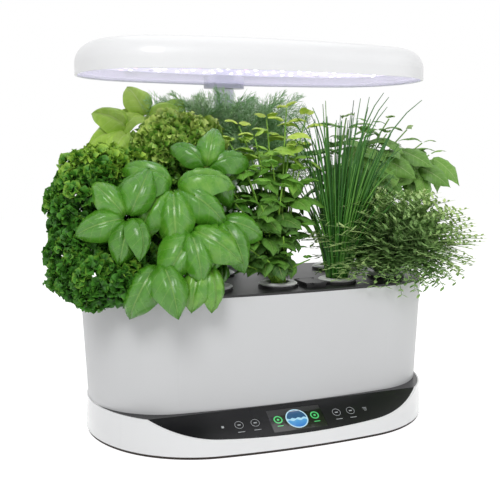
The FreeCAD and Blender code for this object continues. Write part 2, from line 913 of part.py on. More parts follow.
def leaf_blank(length, width, thickness, cup, droop):
    """A cupped leaf along +X whose midrib bends down: a loft through thin crescents."""
    shares = (0.0, 0.22, 0.5, 0.78, 1.0)
    widths = (0.10, 0.78, 1.0, 0.66, 0.06)
    sections = []
    for share, wide in zip(shares, widths):
        x = length * share
        z = -droop * share * share
        half = width * wide / 2
        hang = cup * wide * wide
        side = thickness * 0.3
        left, right = Vector(x, -half, z - hang), Vector(x, half, z - hang)
        sections.append(
            Part.Wire(
                [
                    Part.Arc(left, Vector(x, 0, z), right).toShape(),
                    Part.makeLine(right, right - Vector(0, 0, side)),
                    Part.Arc(
                        right - Vector(0, 0, side), Vector(x, 0, z - thickness), left - Vector(0, 0, side)
                    ).toShape(),
                    Part.makeLine(left - Vector(0, 0, side), left),
                ]
            )
        )
    return Part.makeLoft(sections, True, False)


def leaf(start, heading, pitch, roll, length, width, cup=0.16, droop=0.25, thickness=0.9):
    """A leaf from its stalk end: heading turns it about +Z from +X, pitch lifts its tip, roll turns it on its midrib."""
    blade = leaf_blank(length, width, thickness, cup * width, droop * length)
    blade.rotate(Vector(0, 0, 0), Vector(1, 0, 0), roll)
    blade.rotate(Vector(0, 0, 0), Vector(0, 1, 0), -pitch)
    blade.rotate(Vector(0, 0, 0), Vector(0, 0, 1), heading)
    return blade.translated(start)


def leaf_pairs(start, end, levels, size, shape, first_heading, pitch):
    """Pairs of leaves up a stalk, each pair a quarter turn on from the last and smaller to the top."""
    solids = []
    along = end - start
    for level in range(levels):
        share = 1.0 - 0.62 * level / levels
        place = start + along * share
        grown = size * (0.55 + 0.45 * min(1.0, (level + 0.6) / 2))
        for side in (0, 180):
            heading = first_heading + 90 * level + side
            solids.append(leaf(place, heading, pitch - 14 * level, 0, grown, grown * shape))
    return solids


parsley_balls = crown((-188, -40, 236), (66, 62, 72), 25, 17) + [(-188, -40, 236, 44), (-152, -92, 196, 24)]
rear_parsley_balls = crown((-98, 2, 318), (54, 38, 44), 19, 13) + [(-98, 2, 318, 30), (-76, 14, 284, 26)]
dill_balls = crown((-40, 66, 366), (36, 26, 34), 14, 9) + crown((30, 70, 366), (42, 28, 36), 15, 10)
dill_balls += [(-40, 66, 364, 20), (30, 70, 364, 24), (0, 66, 350, 20)]
thyme_balls = crown((176, -44, 222), (92, 56, 58), 24, 20) + [(150, -44, 222, 36), (206, -44, 216, 36)]


def stalks_to(name, heart, leans, radius, spread):
    return [
        stalk(from_root(name, dx, dy), heart + Vector(spread * dx, spread * dy, 0), radius, radius * 0.75)
        for dx, dy in leans
    ]


def rim_room():
    """What the crowns leave free: the bowl, its deck and the air just over them."""
    body = oval_taper([(bowl_size_at(seat_top), seat_top), (bowl_top_outline, bowl_top + deck_thickness)])
    over = oval_prism(smaller(bowl_top_outline, 12), bowl_top, basket_top + collar_height + 2)
    return body.fuse(over)


def basil_room():
    return mound(crown((-86, -78, 250), (74, 46, 74), 36, 9) + [(-86, -78, 250, 44)])


def chive_room():
    x, y = pod_places["chives"]
    return Part.makeCone(14, 46, 130, Vector(x + 2, y, root_z - 2))


def planted(mass, stalks):
    """A leafy mass kept off the bowl, joined to the stalks that hold it."""
    return mass.cut(rim_room()).multiFuse(stalks)


def parsley():
    stalks = stalks_to("parsley", Vector(-188, -40, 236), ((-6, 0), (5, 5), (3, -6)), 3, 4)
    return planted(mound(parsley_balls).cut(basil_room()), stalks)


def rear_parsley():
    stalks = stalks_to("rear_parsley", Vector(-84, 8, 300), ((-6, 0), (5, 4), (2, -6)), 3, 3)
    mass = mound(rear_parsley_balls).cut(mound(parsley_balls, soft_gap)).cut(mound(dill_balls, soft_gap))
    return planted(mass, stalks)


def dill():
    stalks = [
        stalk(from_root("dill", -6, 2), Vector(-40, 66, 360), 2.4, 1.8),
        stalk(from_root("dill", 5, 3), Vector(30, 70, 360), 2.4, 1.8),
        stalk(from_root("dill", 0, -3), Vector(0, 66, 350), 2.2, 1.6),
    ]
    return planted(mound(dill_balls), stalks)


def thyme():
    stalks = stalks_to("thyme", Vector(176, -44, 220), ((-6, 0), (5, 5), (6, -5), (0, -7)), 2.2, 4)
    return planted(mound(thyme_balls).cut(chive_room()), stalks)


def leafy(name, leans, tops, radius, size, shape, pitch, others):
    """Stalks to each (top, levels, heading), with the leaf pairs that are clear of the other plants."""
    stalks = []
    leaves = []
    for (dx, dy), (top, levels, heading) in zip(leans, tops):
        start = from_root(name, dx, dy)
        end = Vector(*top)
        stalks.append(stalk(start, end, radius, radius * 0.6))
        leaves += leaf_pairs(start, end, levels, size, shape, heading, pitch)
    return Part.makeCompound(stalks + clear_of(leaves, others))


def basil(others):
    tops = [((-126, -80, 258), 5, 40), ((-80, -90, 282), 5, 10), ((-50, -76, 292), 4, 60)]
    return leafy("basil", ((-6, 0), (0, -2), (6, -4)), tops, 3.0, 48, 0.66, 22, others)


def rear_basil(others):
    tops = [((-140, 68, 352), 3, 20), ((-108, 72, 366), 3, 75)]
    return leafy("rear_basil", ((-4, 2), (4, 2)), tops, 3.0, 44, 0.66, 30, others)


def mint(others):
    tops = [((-30, -74, 312), 5, 15), ((-8, -58, 340), 5, 60), ((14, -84, 276), 4, 30), ((26, -62, 318), 5, 80)]
    return leafy("mint", ((-6, -3), (-2, 2), (2, -5), (6, 1)), tops, 1.8, 29, 0.64, 18, others)


def thai_basil(others):
    tops = [((190, 64, 330), 4, 10), ((150, 66, 352), 4, 50), ((226, 44, 292), 4, 25), ((258, 54, 330), 3, 10)]
    leans = ((0, 3), (-5, 3), (5, -5), (6, 3))
    return leafy("thai_basil", leans, tops, 2.4, 58, 0.3, 14, others)


def chives(others):
    """Round blades from one clump, fanned on a golden-angle spiral."""
    blades = []
    count = 44
    for n in range(count):
        out = math.sqrt((n + 0.5) / count)
        turn = n * golden_turn
        start = from_root("chives", 10 * out * math.cos(turn), 8 * out * math.sin(turn))
        height = 218 - 70 * out * ((n * 7) % 5) / 4
        lean = Vector(14 + 44 * out * math.cos(turn), 24 * out * math.sin(turn), height)
        blades.append(stalk(start, start + lean, 1.7, 0.6))
    return Part.makeCompound(clear_of(blades, others))


# Every node
save("foot_ring", foot_ring())
save("base_tray", base_tray())
save("base_shell", base_shell())
save("control_fascia", control_fascia())
save("display_lens", slope_place(lens_recess, display_width, display_height, lens_thickness))
save("display_module", slope_place(module_depth, module_width, module_height, module_thickness))
save("control_board", slope_place(board_depth, control_board_width, control_board_height, board_thickness))
save("power_inlet", power_inlet())
save("base_screws", base_screws())
save("base_socket", base_socket())
save("bowl_plug", bowl_plug())
save("bowl", bowl())
save("grow_deck", grow_deck())
save("fill_flap", fill_flap())
save("flap_pin", flap_pin())
save("pump_body", pump_body())
save("impeller_shaft", impeller_shaft())
save("impeller", impeller())
save("pump_cover", pump_cover())
save("pump_filter", pump_filter())
save("riser_tube", riser_tube())
save("float_stem", float_stem())
save("level_float", level_float())
save("arm_post", arm_post())
save("post_guide_bush", guide_bush(post_width - 2 * post_wall, post_depth - 2 * post_wall, post_top))
save("arm_mid", arm_mid())
save("mid_slide_shoe", slide_shoe(mid_width, mid_depth, mid_bottom))
save("mid_guide_bush", guide_bush(mid_width - 2 * mid_wall, mid_depth - 2 * mid_wall, mid_top))
save("arm_top", arm_top())
save("top_slide_shoe", slide_shoe(top_width, top_depth, top_bottom))
save("arm_head", arm_head())
save("hood_shell", hood_shell())
save("hood_lens", hood_lens())
save("led_board", flat_layer(led_board_inset, board_low, board_thickness))
save("heat_spreader", flat_layer(led_board_inset + 1, spreader_low, spreader_thickness))
for colour in ("white", "red", "blue"):
    save(colour + "_leds", leds(colour))
save("hood_screws", hood_screws())
for number, (pod_x, pod_y) in enumerate(pod_places.values(), 1):
    save("pod_basket_%d" % number, basket().translated(Vector(pod_x, pod_y, 0)))
save("pod_sponges", at_pods(sponge()))
save("pod_collars", at_pods(collar()))
grown = []
for herb in (parsley, rear_parsley, dill, thyme):
    grown.append(herb())
    save(herb.__name__ + "_plant", grown[-1])
for herb in (basil, rear_basil, mint, thai_basil, chives):
    grown.append(herb(grown))
    save(herb.__name__ + "_plant", grown[-1])
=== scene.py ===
import math
import random

import bpy
import numpy as np
from mathutils import Matrix, Vector


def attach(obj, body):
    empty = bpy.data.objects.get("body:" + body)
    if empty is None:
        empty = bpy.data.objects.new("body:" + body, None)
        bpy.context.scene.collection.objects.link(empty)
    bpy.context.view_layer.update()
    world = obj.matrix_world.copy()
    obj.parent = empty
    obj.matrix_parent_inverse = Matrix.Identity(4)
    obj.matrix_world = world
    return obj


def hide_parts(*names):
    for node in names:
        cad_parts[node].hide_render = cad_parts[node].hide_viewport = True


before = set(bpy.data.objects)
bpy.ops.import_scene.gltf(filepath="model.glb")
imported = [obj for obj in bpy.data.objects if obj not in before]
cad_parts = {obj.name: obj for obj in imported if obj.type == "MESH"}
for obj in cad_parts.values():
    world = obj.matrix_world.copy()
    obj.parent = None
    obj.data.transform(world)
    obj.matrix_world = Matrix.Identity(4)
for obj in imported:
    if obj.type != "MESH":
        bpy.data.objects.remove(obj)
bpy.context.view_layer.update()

# Countertop hydroponic garden. Metres, +Z up, -Y is the front, origin under the foot ring.
bpy.ops.object.select_all(action="DESELECT")
print("frame loaded")


# A wire is a node's output that can be added, multiplied and compared
class Wire:
    def __init__(self, sheet, socket):
        self.sheet = sheet
        self.socket = socket

    def maths(self, operation, other, swapped=False):
        pair = [other, self] if swapped else [self, other]
        return self.sheet.node("Math", {"operation": operation}, pair)

    def __add__(self, other):
        return self.maths("ADD", other)

    __radd__ = __add__

    def __sub__(self, other):
        return self.maths("SUBTRACT", other)

    def __rsub__(self, other):
        return self.maths("SUBTRACT", other, True)

    def __mul__(self, other):
        return self.maths("MULTIPLY", other)

    __rmul__ = __mul__

    def __truediv__(self, other):
        return self.maths("DIVIDE", other)

    def __lt__(self, other):
        return self.maths("LESS_THAN", other)

    def __gt__(self, other):
        return self.maths("GREATER_THAN", other)

    def __pow__(self, other):
        return self.maths("POWER", other)


# A sheet holds the nodes of one material, or of the world
class Sheet:
    def __init__(self, name, owner=None):
        self.owner = owner or bpy.data.materials.new(name)
        self.owner.use_nodes = True
        self.tree = self.owner.node_tree
        self.tree.nodes.clear()

    def node(self, kind, settings=None, values=None, out=0):
        made = self.tree.nodes.new("ShaderNode" + kind)
        for key, value in (settings or {}).items():
            if key == "stops":
                while len(made.color_ramp.elements) < len(value):
                    made.color_ramp.elements.new(0.5)
                for element, (place, colour) in zip(made.color_ramp.elements, value):
                    element.position = place
                    element.color = (*colour, 1)
            else:
                setattr(made, key, value)
        pairs = values.items() if isinstance(values, dict) else enumerate(values or [])
        for key, value in pairs:
            if isinstance(value, Wire):
                self.tree.links.new(value.socket, made.inputs[key])
            else:
                made.inputs[key].default_value = value
        return Wire(self, made.outputs[out]) if made.outputs else None

    def place(self):
        return self.node("TexCoord", out="Object")

    def noise(self, scale, detail=3, stretch=None):
        where = self.place()
        if stretch:
            where = self.node("Mapping", None, {"Vector": where, "Scale": stretch})
        return self.node("TexNoise", None, {"Vector": where, "Scale": scale, "Detail": detail}, "Fac")

    def blend(self, factor, one, two):
        return self.node("Mix", {"data_type": "RGBA"}, {0: factor, 6: one, 7: two}, 2)

    def bump(self, height, strength, distance):
        return self.node("Bump", None, {"Height": height, "Strength": strength, "Distance": distance})

    def finish(self, values):
        shader = self.node("BsdfPrincipled", None, values)
        self.node("OutputMaterial", None, {"Surface": shader})
        return self.owner


def rgba(colour):
    return (*colour, 1)


def shifted(colour, factor):
    return (*[min(1, c * factor) for c in colour], 1)


# Moulded plastic: a faint cloudiness in the colour, a fine spark texture and slightly uneven gloss
def mouldedPlastic(name, look):
    sheet = Sheet(name)
    soft = sheet.noise(14)
    fine = sheet.noise(look.get("grain", 900), 2)
    colour, cloud = look["colour"], look.get("cloud", 0.05)
    return sheet.finish({
        "Base Color": sheet.blend(soft, shifted(colour, 1 - cloud), shifted(colour, 1 + cloud)),
        "Roughness": soft * 0.08 + (look["rough"] - 0.04),
        "Coat Weight": look.get("coat", 0.0),
        "Coat Roughness": 0.08,
        "Normal": sheet.bump(fine, 0.35, look.get("depth", 0.00004)),
    })


# Metal with a drawn grain along the axis where its stretch is small
def metalFinish(name, look):
    sheet = Sheet(name)
    drawn = sheet.noise(1800, 2, look["stretch"])
    return sheet.finish({
        "Base Color": sheet.blend(drawn, shifted(look["colour"], 0.9), shifted(look["colour"], 1.08)),
        "Metallic": 1.0,
        "Roughness": drawn * 0.14 + (look["rough"] - 0.07),
        "Normal": sheet.bump(drawn, 0.25, 0.00003),
    })


def dress(material, *nodes):
    for name in nodes:
        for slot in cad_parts[name].material_slots:
            slot.material = material


# Finishes of the CAD pieces
plastics = {
    "bowlSatin": {"colour": (0.66, 0.665, 0.675), "rough": 0.42, "cloud": 0.02, "on": ["bowl"]},
    "shellGloss": {"colour": (0.84, 0.845, 0.855), "rough": 0.26, "depth": 0.00001, "coat": 0.35,
                   "cloud": 0.015, "on": ["base_shell"]},
    "hoodGloss": {"colour": (0.86, 0.865, 0.875), "rough": 0.30, "depth": 0.00001, "coat": 0.25,
                  "cloud": 0.015, "on": ["hood_shell"]},
    "deckBlack": {"colour": (0.012, 0.012, 0.013), "rough": 0.42, "depth": 0.00006,
                  "on": ["grow_deck", "fill_flap"]},
    "footRubber": {"colour": (0.022, 0.014, 0.011), "rough": 0.75, "grain": 500, "depth": 0.0001,
                   "on": ["foot_ring"]},
    "headGrey": {"colour": (0.55, 0.56, 0.60), "rough": 0.38, "cloud": 0.03, "on": ["arm_head"]},
    "bushBlack": {"colour": (0.03, 0.03, 0.033), "rough": 0.45,
                  "on": ["post_guide_bush", "mid_guide_bush", "mid_slide_shoe", "top_slide_shoe"]},
    "darkPlastic": {"colour": (0.03, 0.03, 0.032), "rough": 0.5, "depth": 0.00008,
                    "on": ["base_tray", "power_inlet", "base_socket", "bowl_plug", "pump_body", "pump_cover",
                           "pump_filter"]},
    "collarWhite": {"colour": (0.80, 0.81, 0.80), "rough": 0.4,
                    "on": ["pod_collars"] + ["pod_basket_%d" % n for n in range(1, 10)]},
    "floatOrange": {"colour": (0.75, 0.22, 0.04), "rough": 0.45, "on": ["level_float"]},
    "wetWhite": {"colour": (0.78, 0.78, 0.76), "rough": 0.35,
                 "on": ["float_stem", "impeller", "impeller_shaft", "riser_tube"]},
}
metals = {
    "armAluminium": {"colour": (0.62, 0.63, 0.66), "rough": 0.36, "stretch": (1, 1, 0.02),
                     "on": ["arm_post", "arm_mid", "arm_top"]},
    "steel": {"colour": (0.55, 0.55, 0.56), "rough": 0.3, "stretch": (1, 1, 1),
              "on": ["base_screws", "hood_screws", "flap_pin"]},
    "spreader": {"colour": (0.7, 0.71, 0.73), "rough": 0.4, "stretch": (0.02, 1, 1), "on": ["heat_spreader"]},
}
for name, look in plastics.items():
    dress(mouldedPlastic(name, look), *look["on"])
for name, look in metals.items():
    dress(metalFinish(name, look), *look["on"])

# The gloss black fascia, darker and deeper than the deck
fascia = {"dark": (0.006, 0.006, 0.007), "pale": (0.014, 0.014, 0.016), "rough": 0.16, "specular": 0.28}


def fasciaFinish():
    sheet = Sheet("fasciaGloss")
    soft = sheet.noise(9)
    return sheet.finish({
        "Base Color": sheet.blend(soft, rgba(fascia["dark"]), rgba(fascia["pale"])),
        "Roughness": soft * 0.05 + fascia["rough"],
        "Specular IOR Level": fascia["specular"],
        "Normal": sheet.bump(sheet.noise(60, 1), 0.08, 0.00004),
    })


dress(fasciaFinish(), "control_fascia")

# Open-cell growing foam
foam = {"dark": (0.05, 0.03, 0.018), "pale": (0.12, 0.08, 0.05), "rough": 0.9, "cells": 900.0,
        "cellDepth": 0.0006}


def foamFinish():
    sheet = Sheet("growFoam")
    cells = sheet.node("TexVoronoi", None, {"Vector": sheet.place(), "Scale": foam["cells"]}, "Distance")
    return sheet.finish({
        "Base Color": sheet.blend(sheet.noise(60), rgba(foam["dark"]), rgba(foam["pale"])),
        "Roughness": foam["rough"],
        "Normal": sheet.bump(cells, 0.9, foam["cellDepth"]),
    })


dress(foamFinish(), "pod_sponges")

# Circuit board: solder mask with pads in rows
board = {"mask": (0.02, 0.11, 0.045), "pad": (0.75, 0.6, 0.3), "pitch": 0.005, "padShare": 0.12}


def boardFinish():
    sheet = Sheet("controlBoard")
    where = sheet.place()
    rows = []
    for axis in "XY":
        spot = sheet.node("SeparateXYZ", None, [where], axis)
        rows.append(sheet.node("Math", {"operation": "PINGPONG"}, [spot, board["pitch"] / 2]))
    across, along = rows
    dots = (across < board["pitch"] * board["padShare"]) * (along < board["pitch"] * board["padShare"])
    return sheet.finish({
        "Base Color": sheet.blend(dots, rgba(board["mask"]), rgba(board["pad"])),
        "Roughness": 0.35 - dots * 0.12,
        "Normal": sheet.bump(dots, 0.4, 0.0001),
    })


dress(boardFinish(), "control_board")

# The lit hood: board, diodes and lens
lamp = {
    "clusterPitch": 0.035,
    "board": (0.82, 0.82, 0.85),
    "between": (0.62, 0.58, 0.74),       # the glow between two clusters
    "glow": (0.95, 0.93, 1.0),
    "purple": (0.55, 0.42, 1.0),
    "strength": 0.62,
}
diodes = {
    "whiteDiode": {"colour": (1.0, 0.98, 0.98), "strength": 5.0, "on": "white_leds"},
    "redDiode": {"colour": (1.0, 0.45, 0.85), "strength": 2.5, "on": "red_leds"},
    "blueDiode": {"colour": (0.55, 0.45, 1.0), "strength": 2.5, "on": "blue_leds"},
}
lens = {
    "clear": (0.97, 0.96, 1.0),
    "face": (0.9, 0.88, 0.98),
    "glow": ((0.80, 0.76, 0.98), (0.92, 0.90, 1.0)),
    "strength": 0.34,
    "frost": 0.34,                       # share of the frosted face over the clear one
    "rough": 0.25,
}


# The white board glows where each cluster of diodes sits, and turns purple in patches
def lampBoardFinish():
    sheet = Sheet("lampBoard")
    x = sheet.node("SeparateXYZ", None, [sheet.place()])
    away = sheet.node("Math", {"operation": "PINGPONG"}, [x, lamp["clusterPitch"] / 2])
    near = 1 - away / (lamp["clusterPitch"] / 2)
    stops = [(0.35, lamp["glow"]), (0.62, lamp["purple"])]
    tint = sheet.node("ValToRGB", {"stops": stops}, [sheet.noise(18, 1)])
    return sheet.finish({
        "Base Color": rgba(lamp["board"]),
        "Roughness": 0.4,
        "Emission Color": sheet.blend(near * near, rgba(lamp["between"]), tint),
        "Emission Strength": lamp["strength"],
    })


def diodeFinish(name, look):
    sheet = Sheet(name)
    hot = sheet.noise(700, 1)
    return sheet.finish({
        "Base Color": rgba(look["colour"]),
        "Roughness": 0.3,
        "Emission Color": sheet.blend(hot, shifted(look["colour"], 0.85), rgba(look["colour"])),
        "Emission Strength": look["strength"],
    })


# The lens: clear acrylic with a light frost, so the diodes show through it
def lensFinish():
    sheet = Sheet("lampLens")
    fine = sheet.noise(500, 2)
    clear = sheet.node("BsdfTransparent", None, [rgba(lens["clear"])])
    face = sheet.node("BsdfPrincipled", None, {
        "Base Color": rgba(lens["face"]),
        "Roughness": lens["rough"],
        "Emission Color": sheet.blend(fine, *[rgba(colour) for colour in lens["glow"]]),
        "Emission Strength": lens["strength"],
        "Normal": sheet.bump(fine, 0.3, 0.0002),
    })
    both = sheet.node("MixShader", None, [lens["frost"], clear, face])
    sheet.node("OutputMaterial", None, {"Surface": both})
    return sheet.owner


dress(lampBoardFinish(), "led_board")
for name, look in diodes.items():
    dress(diodeFinish(name, look), look["on"])
dress(lensFinish(), "hood_lens")

# The display: a round water gauge with waves, and a small ring gauge on each side
screen = {
    "forward": 0.122,
    "tilt": math.atan(0.64),
    "gaugeRadius": 0.0132,
    "smallGauge": 0.0052,
    "smallAcross": 0.0225,
    "smallAlong": 0.0015,
    "water": {"level": 0.0008, "waves": 900, "height": 0.0006, "colour": (0.45, 0.80, 1.0)},
    "deepWater": {"level": -0.0022, "waves": 700, "height": 0.0008, "low": (0.0, 0.16, 0.62),
                  "high": (0.22, 0.72, 1.0)},
    "air": (0.02, 0.10, 0.24),
    "rim": (0.55, 0.85, 1.0),
    "green": (0.10, 0.75, 0.22),
    "grey": (0.5, 0.55, 0.6),
    "glass": (0.004, 0.004, 0.005),
    "strength": 0.9,
}


def screenFinish():
    sheet = Sheet("screenPicture")
    where = sheet.place()
    across = sheet.node("SeparateXYZ", None, [where])
    y = sheet.node("SeparateXYZ", None, [where], "Y")
    along = (y + screen["forward"]) / math.cos(screen["tilt"])

    def away(midAcross, midAlong):
        one = across - midAcross
        two = along - midAlong
        return (one * one + two * two) ** 0.5

    def band(value, low, high):
        return (value > low) * (value < high)

    def sine(rate, start, height):
        return sheet.node("Math", {"operation": "SINE"}, [across * rate + start]) * height

    big, small = screen["gaugeRadius"], screen["smallGauge"]
    water, deepWater = screen["water"], screen["deepWater"]
    centre = away(0, 0)
    inside = centre < big * 0.9
    wet = inside * (along < sine(water["waves"], 0, water["height"]) + water["level"])
    deep = inside * (along < sine(deepWater["waves"], 2, deepWater["height"]) + deepWater["level"])
    shade = sheet.node("ValToRGB", {"stops": [(0.0, deepWater["low"]), (1.0, deepWater["high"])]},
                       [(along + big) / (2 * big)])
    paint = sheet.blend(inside, rgba((0.0, 0.0, 0.0)), rgba(screen["air"]))
    paint = sheet.blend(wet, paint, rgba(water["colour"]))
    paint = sheet.blend(deep, paint, shade)
    paint = sheet.blend(band(centre, big * 0.9, big), paint, rgba(screen["rim"]))
    for side in (-1, 1):
        middle = side * screen["smallAcross"]
        gauge = away(middle, screen["smallAlong"])
        bar = band(across, middle - 0.0035, middle + 0.0035) * band(along, -0.0078, -0.0068)
        marks = band(gauge, small * 0.72, small) + (gauge < small * 0.28) + bar
        paint = sheet.blend(marks, paint, rgba(screen["green"]))
    topBar = band(along, 0.0105, 0.0113) * band(across, -0.007, 0.007)
    paint = sheet.blend(topBar, paint, rgba(screen["grey"]))
    return sheet.finish({
        "Base Color": rgba(screen["glass"]),
        "Roughness": 0.12,
        "Coat Weight": 0.7,
        "Coat Roughness": 0.03,
        "Emission Color": paint,
        "Emission Strength": screen["strength"],
    })


def screenBackFinish():
    sheet = Sheet("screenBack")
    return sheet.finish({
        "Base Color": sheet.blend(sheet.noise(120), rgba((0.02, 0.02, 0.022)), rgba((0.05, 0.05, 0.055))),
        "Roughness": 0.4,
    })


dress(screenFinish(), "display_lens")
dress(screenBackFinish(), "display_module")

# Touch icons printed on the fascia: rings with a bar in and under each, a square and three short waves
icons = {
    "forward": -0.121,
    "line": 0.00022,
    "lift": 0.0001,
    "ink": {"colour": (0.50, 0.52, 0.54), "rough": 0.5},
    "rings": (-0.069, -0.050, 0.050, 0.068),
    "ringRadius": 0.0048,
    "mark": (0.0036, 0.0012),
    "label": (0.0080, 0.0006),
    "labelDrop": 0.0082,
    "square": (-0.088, 0.0026),
    "waves": (0.087, 0.0030),
    "wavePitch": 0.0016,
}


def onFascia(x, y):
    # each mark drops on to the surface under it, and lies flat there
    spot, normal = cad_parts["control_fascia"].ray_cast(Vector((x, y, 0.2)), Vector((0, 0, -1)))[1:3]
    return spot + normal * icons["lift"], normal.to_track_quat("Z", "Y").to_euler()


def iconPiece(name, add, x, y):
    place, turn = onFascia(x, y)
    add(place, turn)
    piece = bpy.context.active_object
    piece.name = name
    bpy.ops.object.transform_apply(location=True, rotation=True, scale=True)
    piece.data.materials.append(iconInk)
    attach(piece, "garden")


def ringAt(radius):
    def add(place, turn):
        bpy.ops.mesh.primitive_torus_add(location=place, rotation=turn, major_radius=radius,
                                         minor_radius=icons["line"], major_segments=40, minor_segments=6)
    return add


def barAt(width, depth):
    def add(place, turn):
        bpy.ops.mesh.primitive_cube_add(location=place, rotation=turn, size=1)
        bpy.context.active_object.scale = (width, depth, icons["line"])
    return add


iconInk = mouldedPlastic("iconInk", icons["ink"])
for n, x in enumerate(icons["rings"]):
    iconPiece("iconRing%d" % n, ringAt(icons["ringRadius"]), x, icons["forward"])
    iconPiece("iconMark%d" % n, barAt(*icons["mark"]), x, icons["forward"])
    iconPiece("iconLabel%d" % n, barAt(*icons["label"]), x, icons["forward"] - icons["labelDrop"])
x, side = icons["square"]
iconPiece("iconSquare", barAt(side, side), x, icons["forward"])
x, side = icons["waves"]
for n in range(3):
    y = icons["forward"] + icons["wavePitch"] * (n - 1)
    iconPiece("iconWave%d" % n, barAt(side + 0.001 * n, 0.0005), x, y)
print("finishes and touch icons")

# The herbs: shared growing helpers
random.seed(11)
golden = math.pi * (3 - math.sqrt(5))        # the turn from one shoot to the next
stemMap = (0.9, 0.9)                         # where stems read the leaf map, clear of the veins
podTop = 0.1737
pods = {
    "parsley": (-0.156, -0.042),
    "basil": (-0.078, -0.062),
    "mint": (0.0, -0.066),
    "chives": (0.078, -0.062),
    "thyme": (0.156, -0.042),
    "rearBasil": (-0.118, 0.038),
    "rearParsley": (-0.040, 0.036),
    "dill": (0.040, 0.036),
    "narrowBasil": (0.118, 0.038),
}
keepOut = {
    "ceiling": 0.4045,                       # leaves stay under the lamp
    "bowl": (0.2150, 0.1075),
    "deck": 0.1775,
    "arm": {"half": (0.023, 0.014), "y": 0.118},
    "flap": {"x": (0.022, 0.056), "y": (-0.094, -0.045), "top": 0.216},
}


def clearPlace(points):
    # False where a copy would reach the lamp, the bowl and deck, the arm or the swing of the fill flap
    x, y, z = points[:, 0], points[:, 1], points[:, 2]
    bowl, arm, flap = keepOut["bowl"], keepOut["arm"], keepOut["flap"]
    overBowl = (np.abs(x) / bowl[0]) ** 3 + (np.abs(y) / bowl[1]) ** 3 < 1
    inArm = (np.abs(x) < arm["half"][0]) & (np.abs(y - arm["y"]) < arm["half"][1])
    overFlap = (x > flap["x"][0]) & (x < flap["x"][1]) & (y > flap["y"][0]) & (y < flap["y"][1])
    blocked = (z > keepOut["ceiling"]) | (overBowl & (z < keepOut["deck"])) | inArm
    return not (blocked | (overFlap & (z < flap["top"]))).any()


# A bed gathers copies of modelled leaves and stems, then makes them one piece or one larger model
class Bed:
    def __init__(self):
        self.points, self.faces, self.maps, self.tones = [], [], [], []
        self.count = 0

    def add(self, model, where, tone=0.5, checked=True):
        points = model["points"] @ np.array(where)[:3, :3].T + np.array(where)[:3, 3]
        if checked and not clearPlace(points):
            return
        self.points.append(points)
        self.faces.extend([[corner + self.count for corner in face] for face in model["faces"]])
        self.maps.append(model["map"])
        self.tones.append(np.clip(tone + model.get("shade", np.zeros(len(points))), 0, 1))
        self.count += len(points)

    def stem(self, line, thick, thin, sides=6, tone=0.4):
        # a tapered tube along the line, closed at both ends
        rings, faces, maps = [], [], []
        for n, spot in enumerate(line):
            ahead = (line[min(n + 1, len(line) - 1)] - line[max(n - 1, 0)]).normalized()
            side = ahead.cross(Vector((0.31, 0.95, 0.05))).normalized()
            other = ahead.cross(side)
            radius = thick + (thin - thick) * n / (len(line) - 1)
            for k in range(sides):
                turn = 2 * math.pi * k / sides
                rings.append(spot + (side * math.cos(turn) + other * math.sin(turn)) * radius)
        for n in range(len(line) - 1):
            for k in range(sides):
                a, b = n * sides + k, n * sides + (k + 1) % sides
                faces.append([a, b, b + sides, a + sides])
                maps += [stemMap] * 4
        faces.append(list(range(sides))[::-1])
        faces.append([(len(line) - 1) * sides + k for k in range(sides)])
        maps += [stemMap] * (2 * sides)
        model = {"points": np.array(rings), "faces": faces, "map": np.array(maps)}
        self.add(model, Matrix.Identity(4), tone, False)

    def model(self):
        return {"points": np.concatenate(self.points), "faces": self.faces, "map": np.concatenate(self.maps),
                "shade": np.concatenate(self.tones) - 0.5}

    def piece(self, name, material, node, slot):
        mesh = bpy.data.meshes.new(name)
        mesh.from_pydata(np.concatenate(self.points).tolist(), [], self.faces)
        layer = mesh.uv_layers.new(name="leaf")
        layer.data.foreach_set("uv", np.concatenate(self.maps).ravel())
        tone = mesh.attributes.new("tone", "FLOAT", "POINT")
        tone.data.foreach_set("value", np.concatenate(self.tones))
        mesh.materials.append(material)
        mesh.shade_smooth()
        piece = bpy.data.objects.new(name, mesh)
        bpy.context.scene.collection.objects.link(piece)
        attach(piece, "garden")
        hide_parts(node)
        print(name, len(self.faces), "faces")


def sheetModel(rows, columns, shape):
    # a grid whose points move to shape(u along, v across from -1 to 1), kept as a model to copy
    bpy.ops.object.select_all(action="DESELECT")
    bpy.ops.mesh.primitive_grid_add(x_subdivisions=rows, y_subdivisions=columns, size=1)
    sheet = bpy.context.active_object
    mesh = sheet.data
    uv = mesh.uv_layers.active or mesh.uv_layers.new(name="leaf")
    for loop in mesh.loops:
        spot = mesh.vertices[loop.vertex_index].co
        uv.data[loop.index].uv = (spot.x + 0.5, spot.y + 0.5)
    for vertex in mesh.vertices:
        vertex.co = shape(vertex.co.x + 0.5, vertex.co.y * 2)
    model = {
        "points": np.array([vertex.co[:] for vertex in mesh.vertices]),
        "faces": [list(face.vertices) for face in mesh.polygons],
        "map": np.array([entry.uv[:] for entry in uv.data]),
    }
    bpy.data.objects.remove(sheet)
    return model


veinSlant = 1.3                              # how far the side veins run forward on their way out


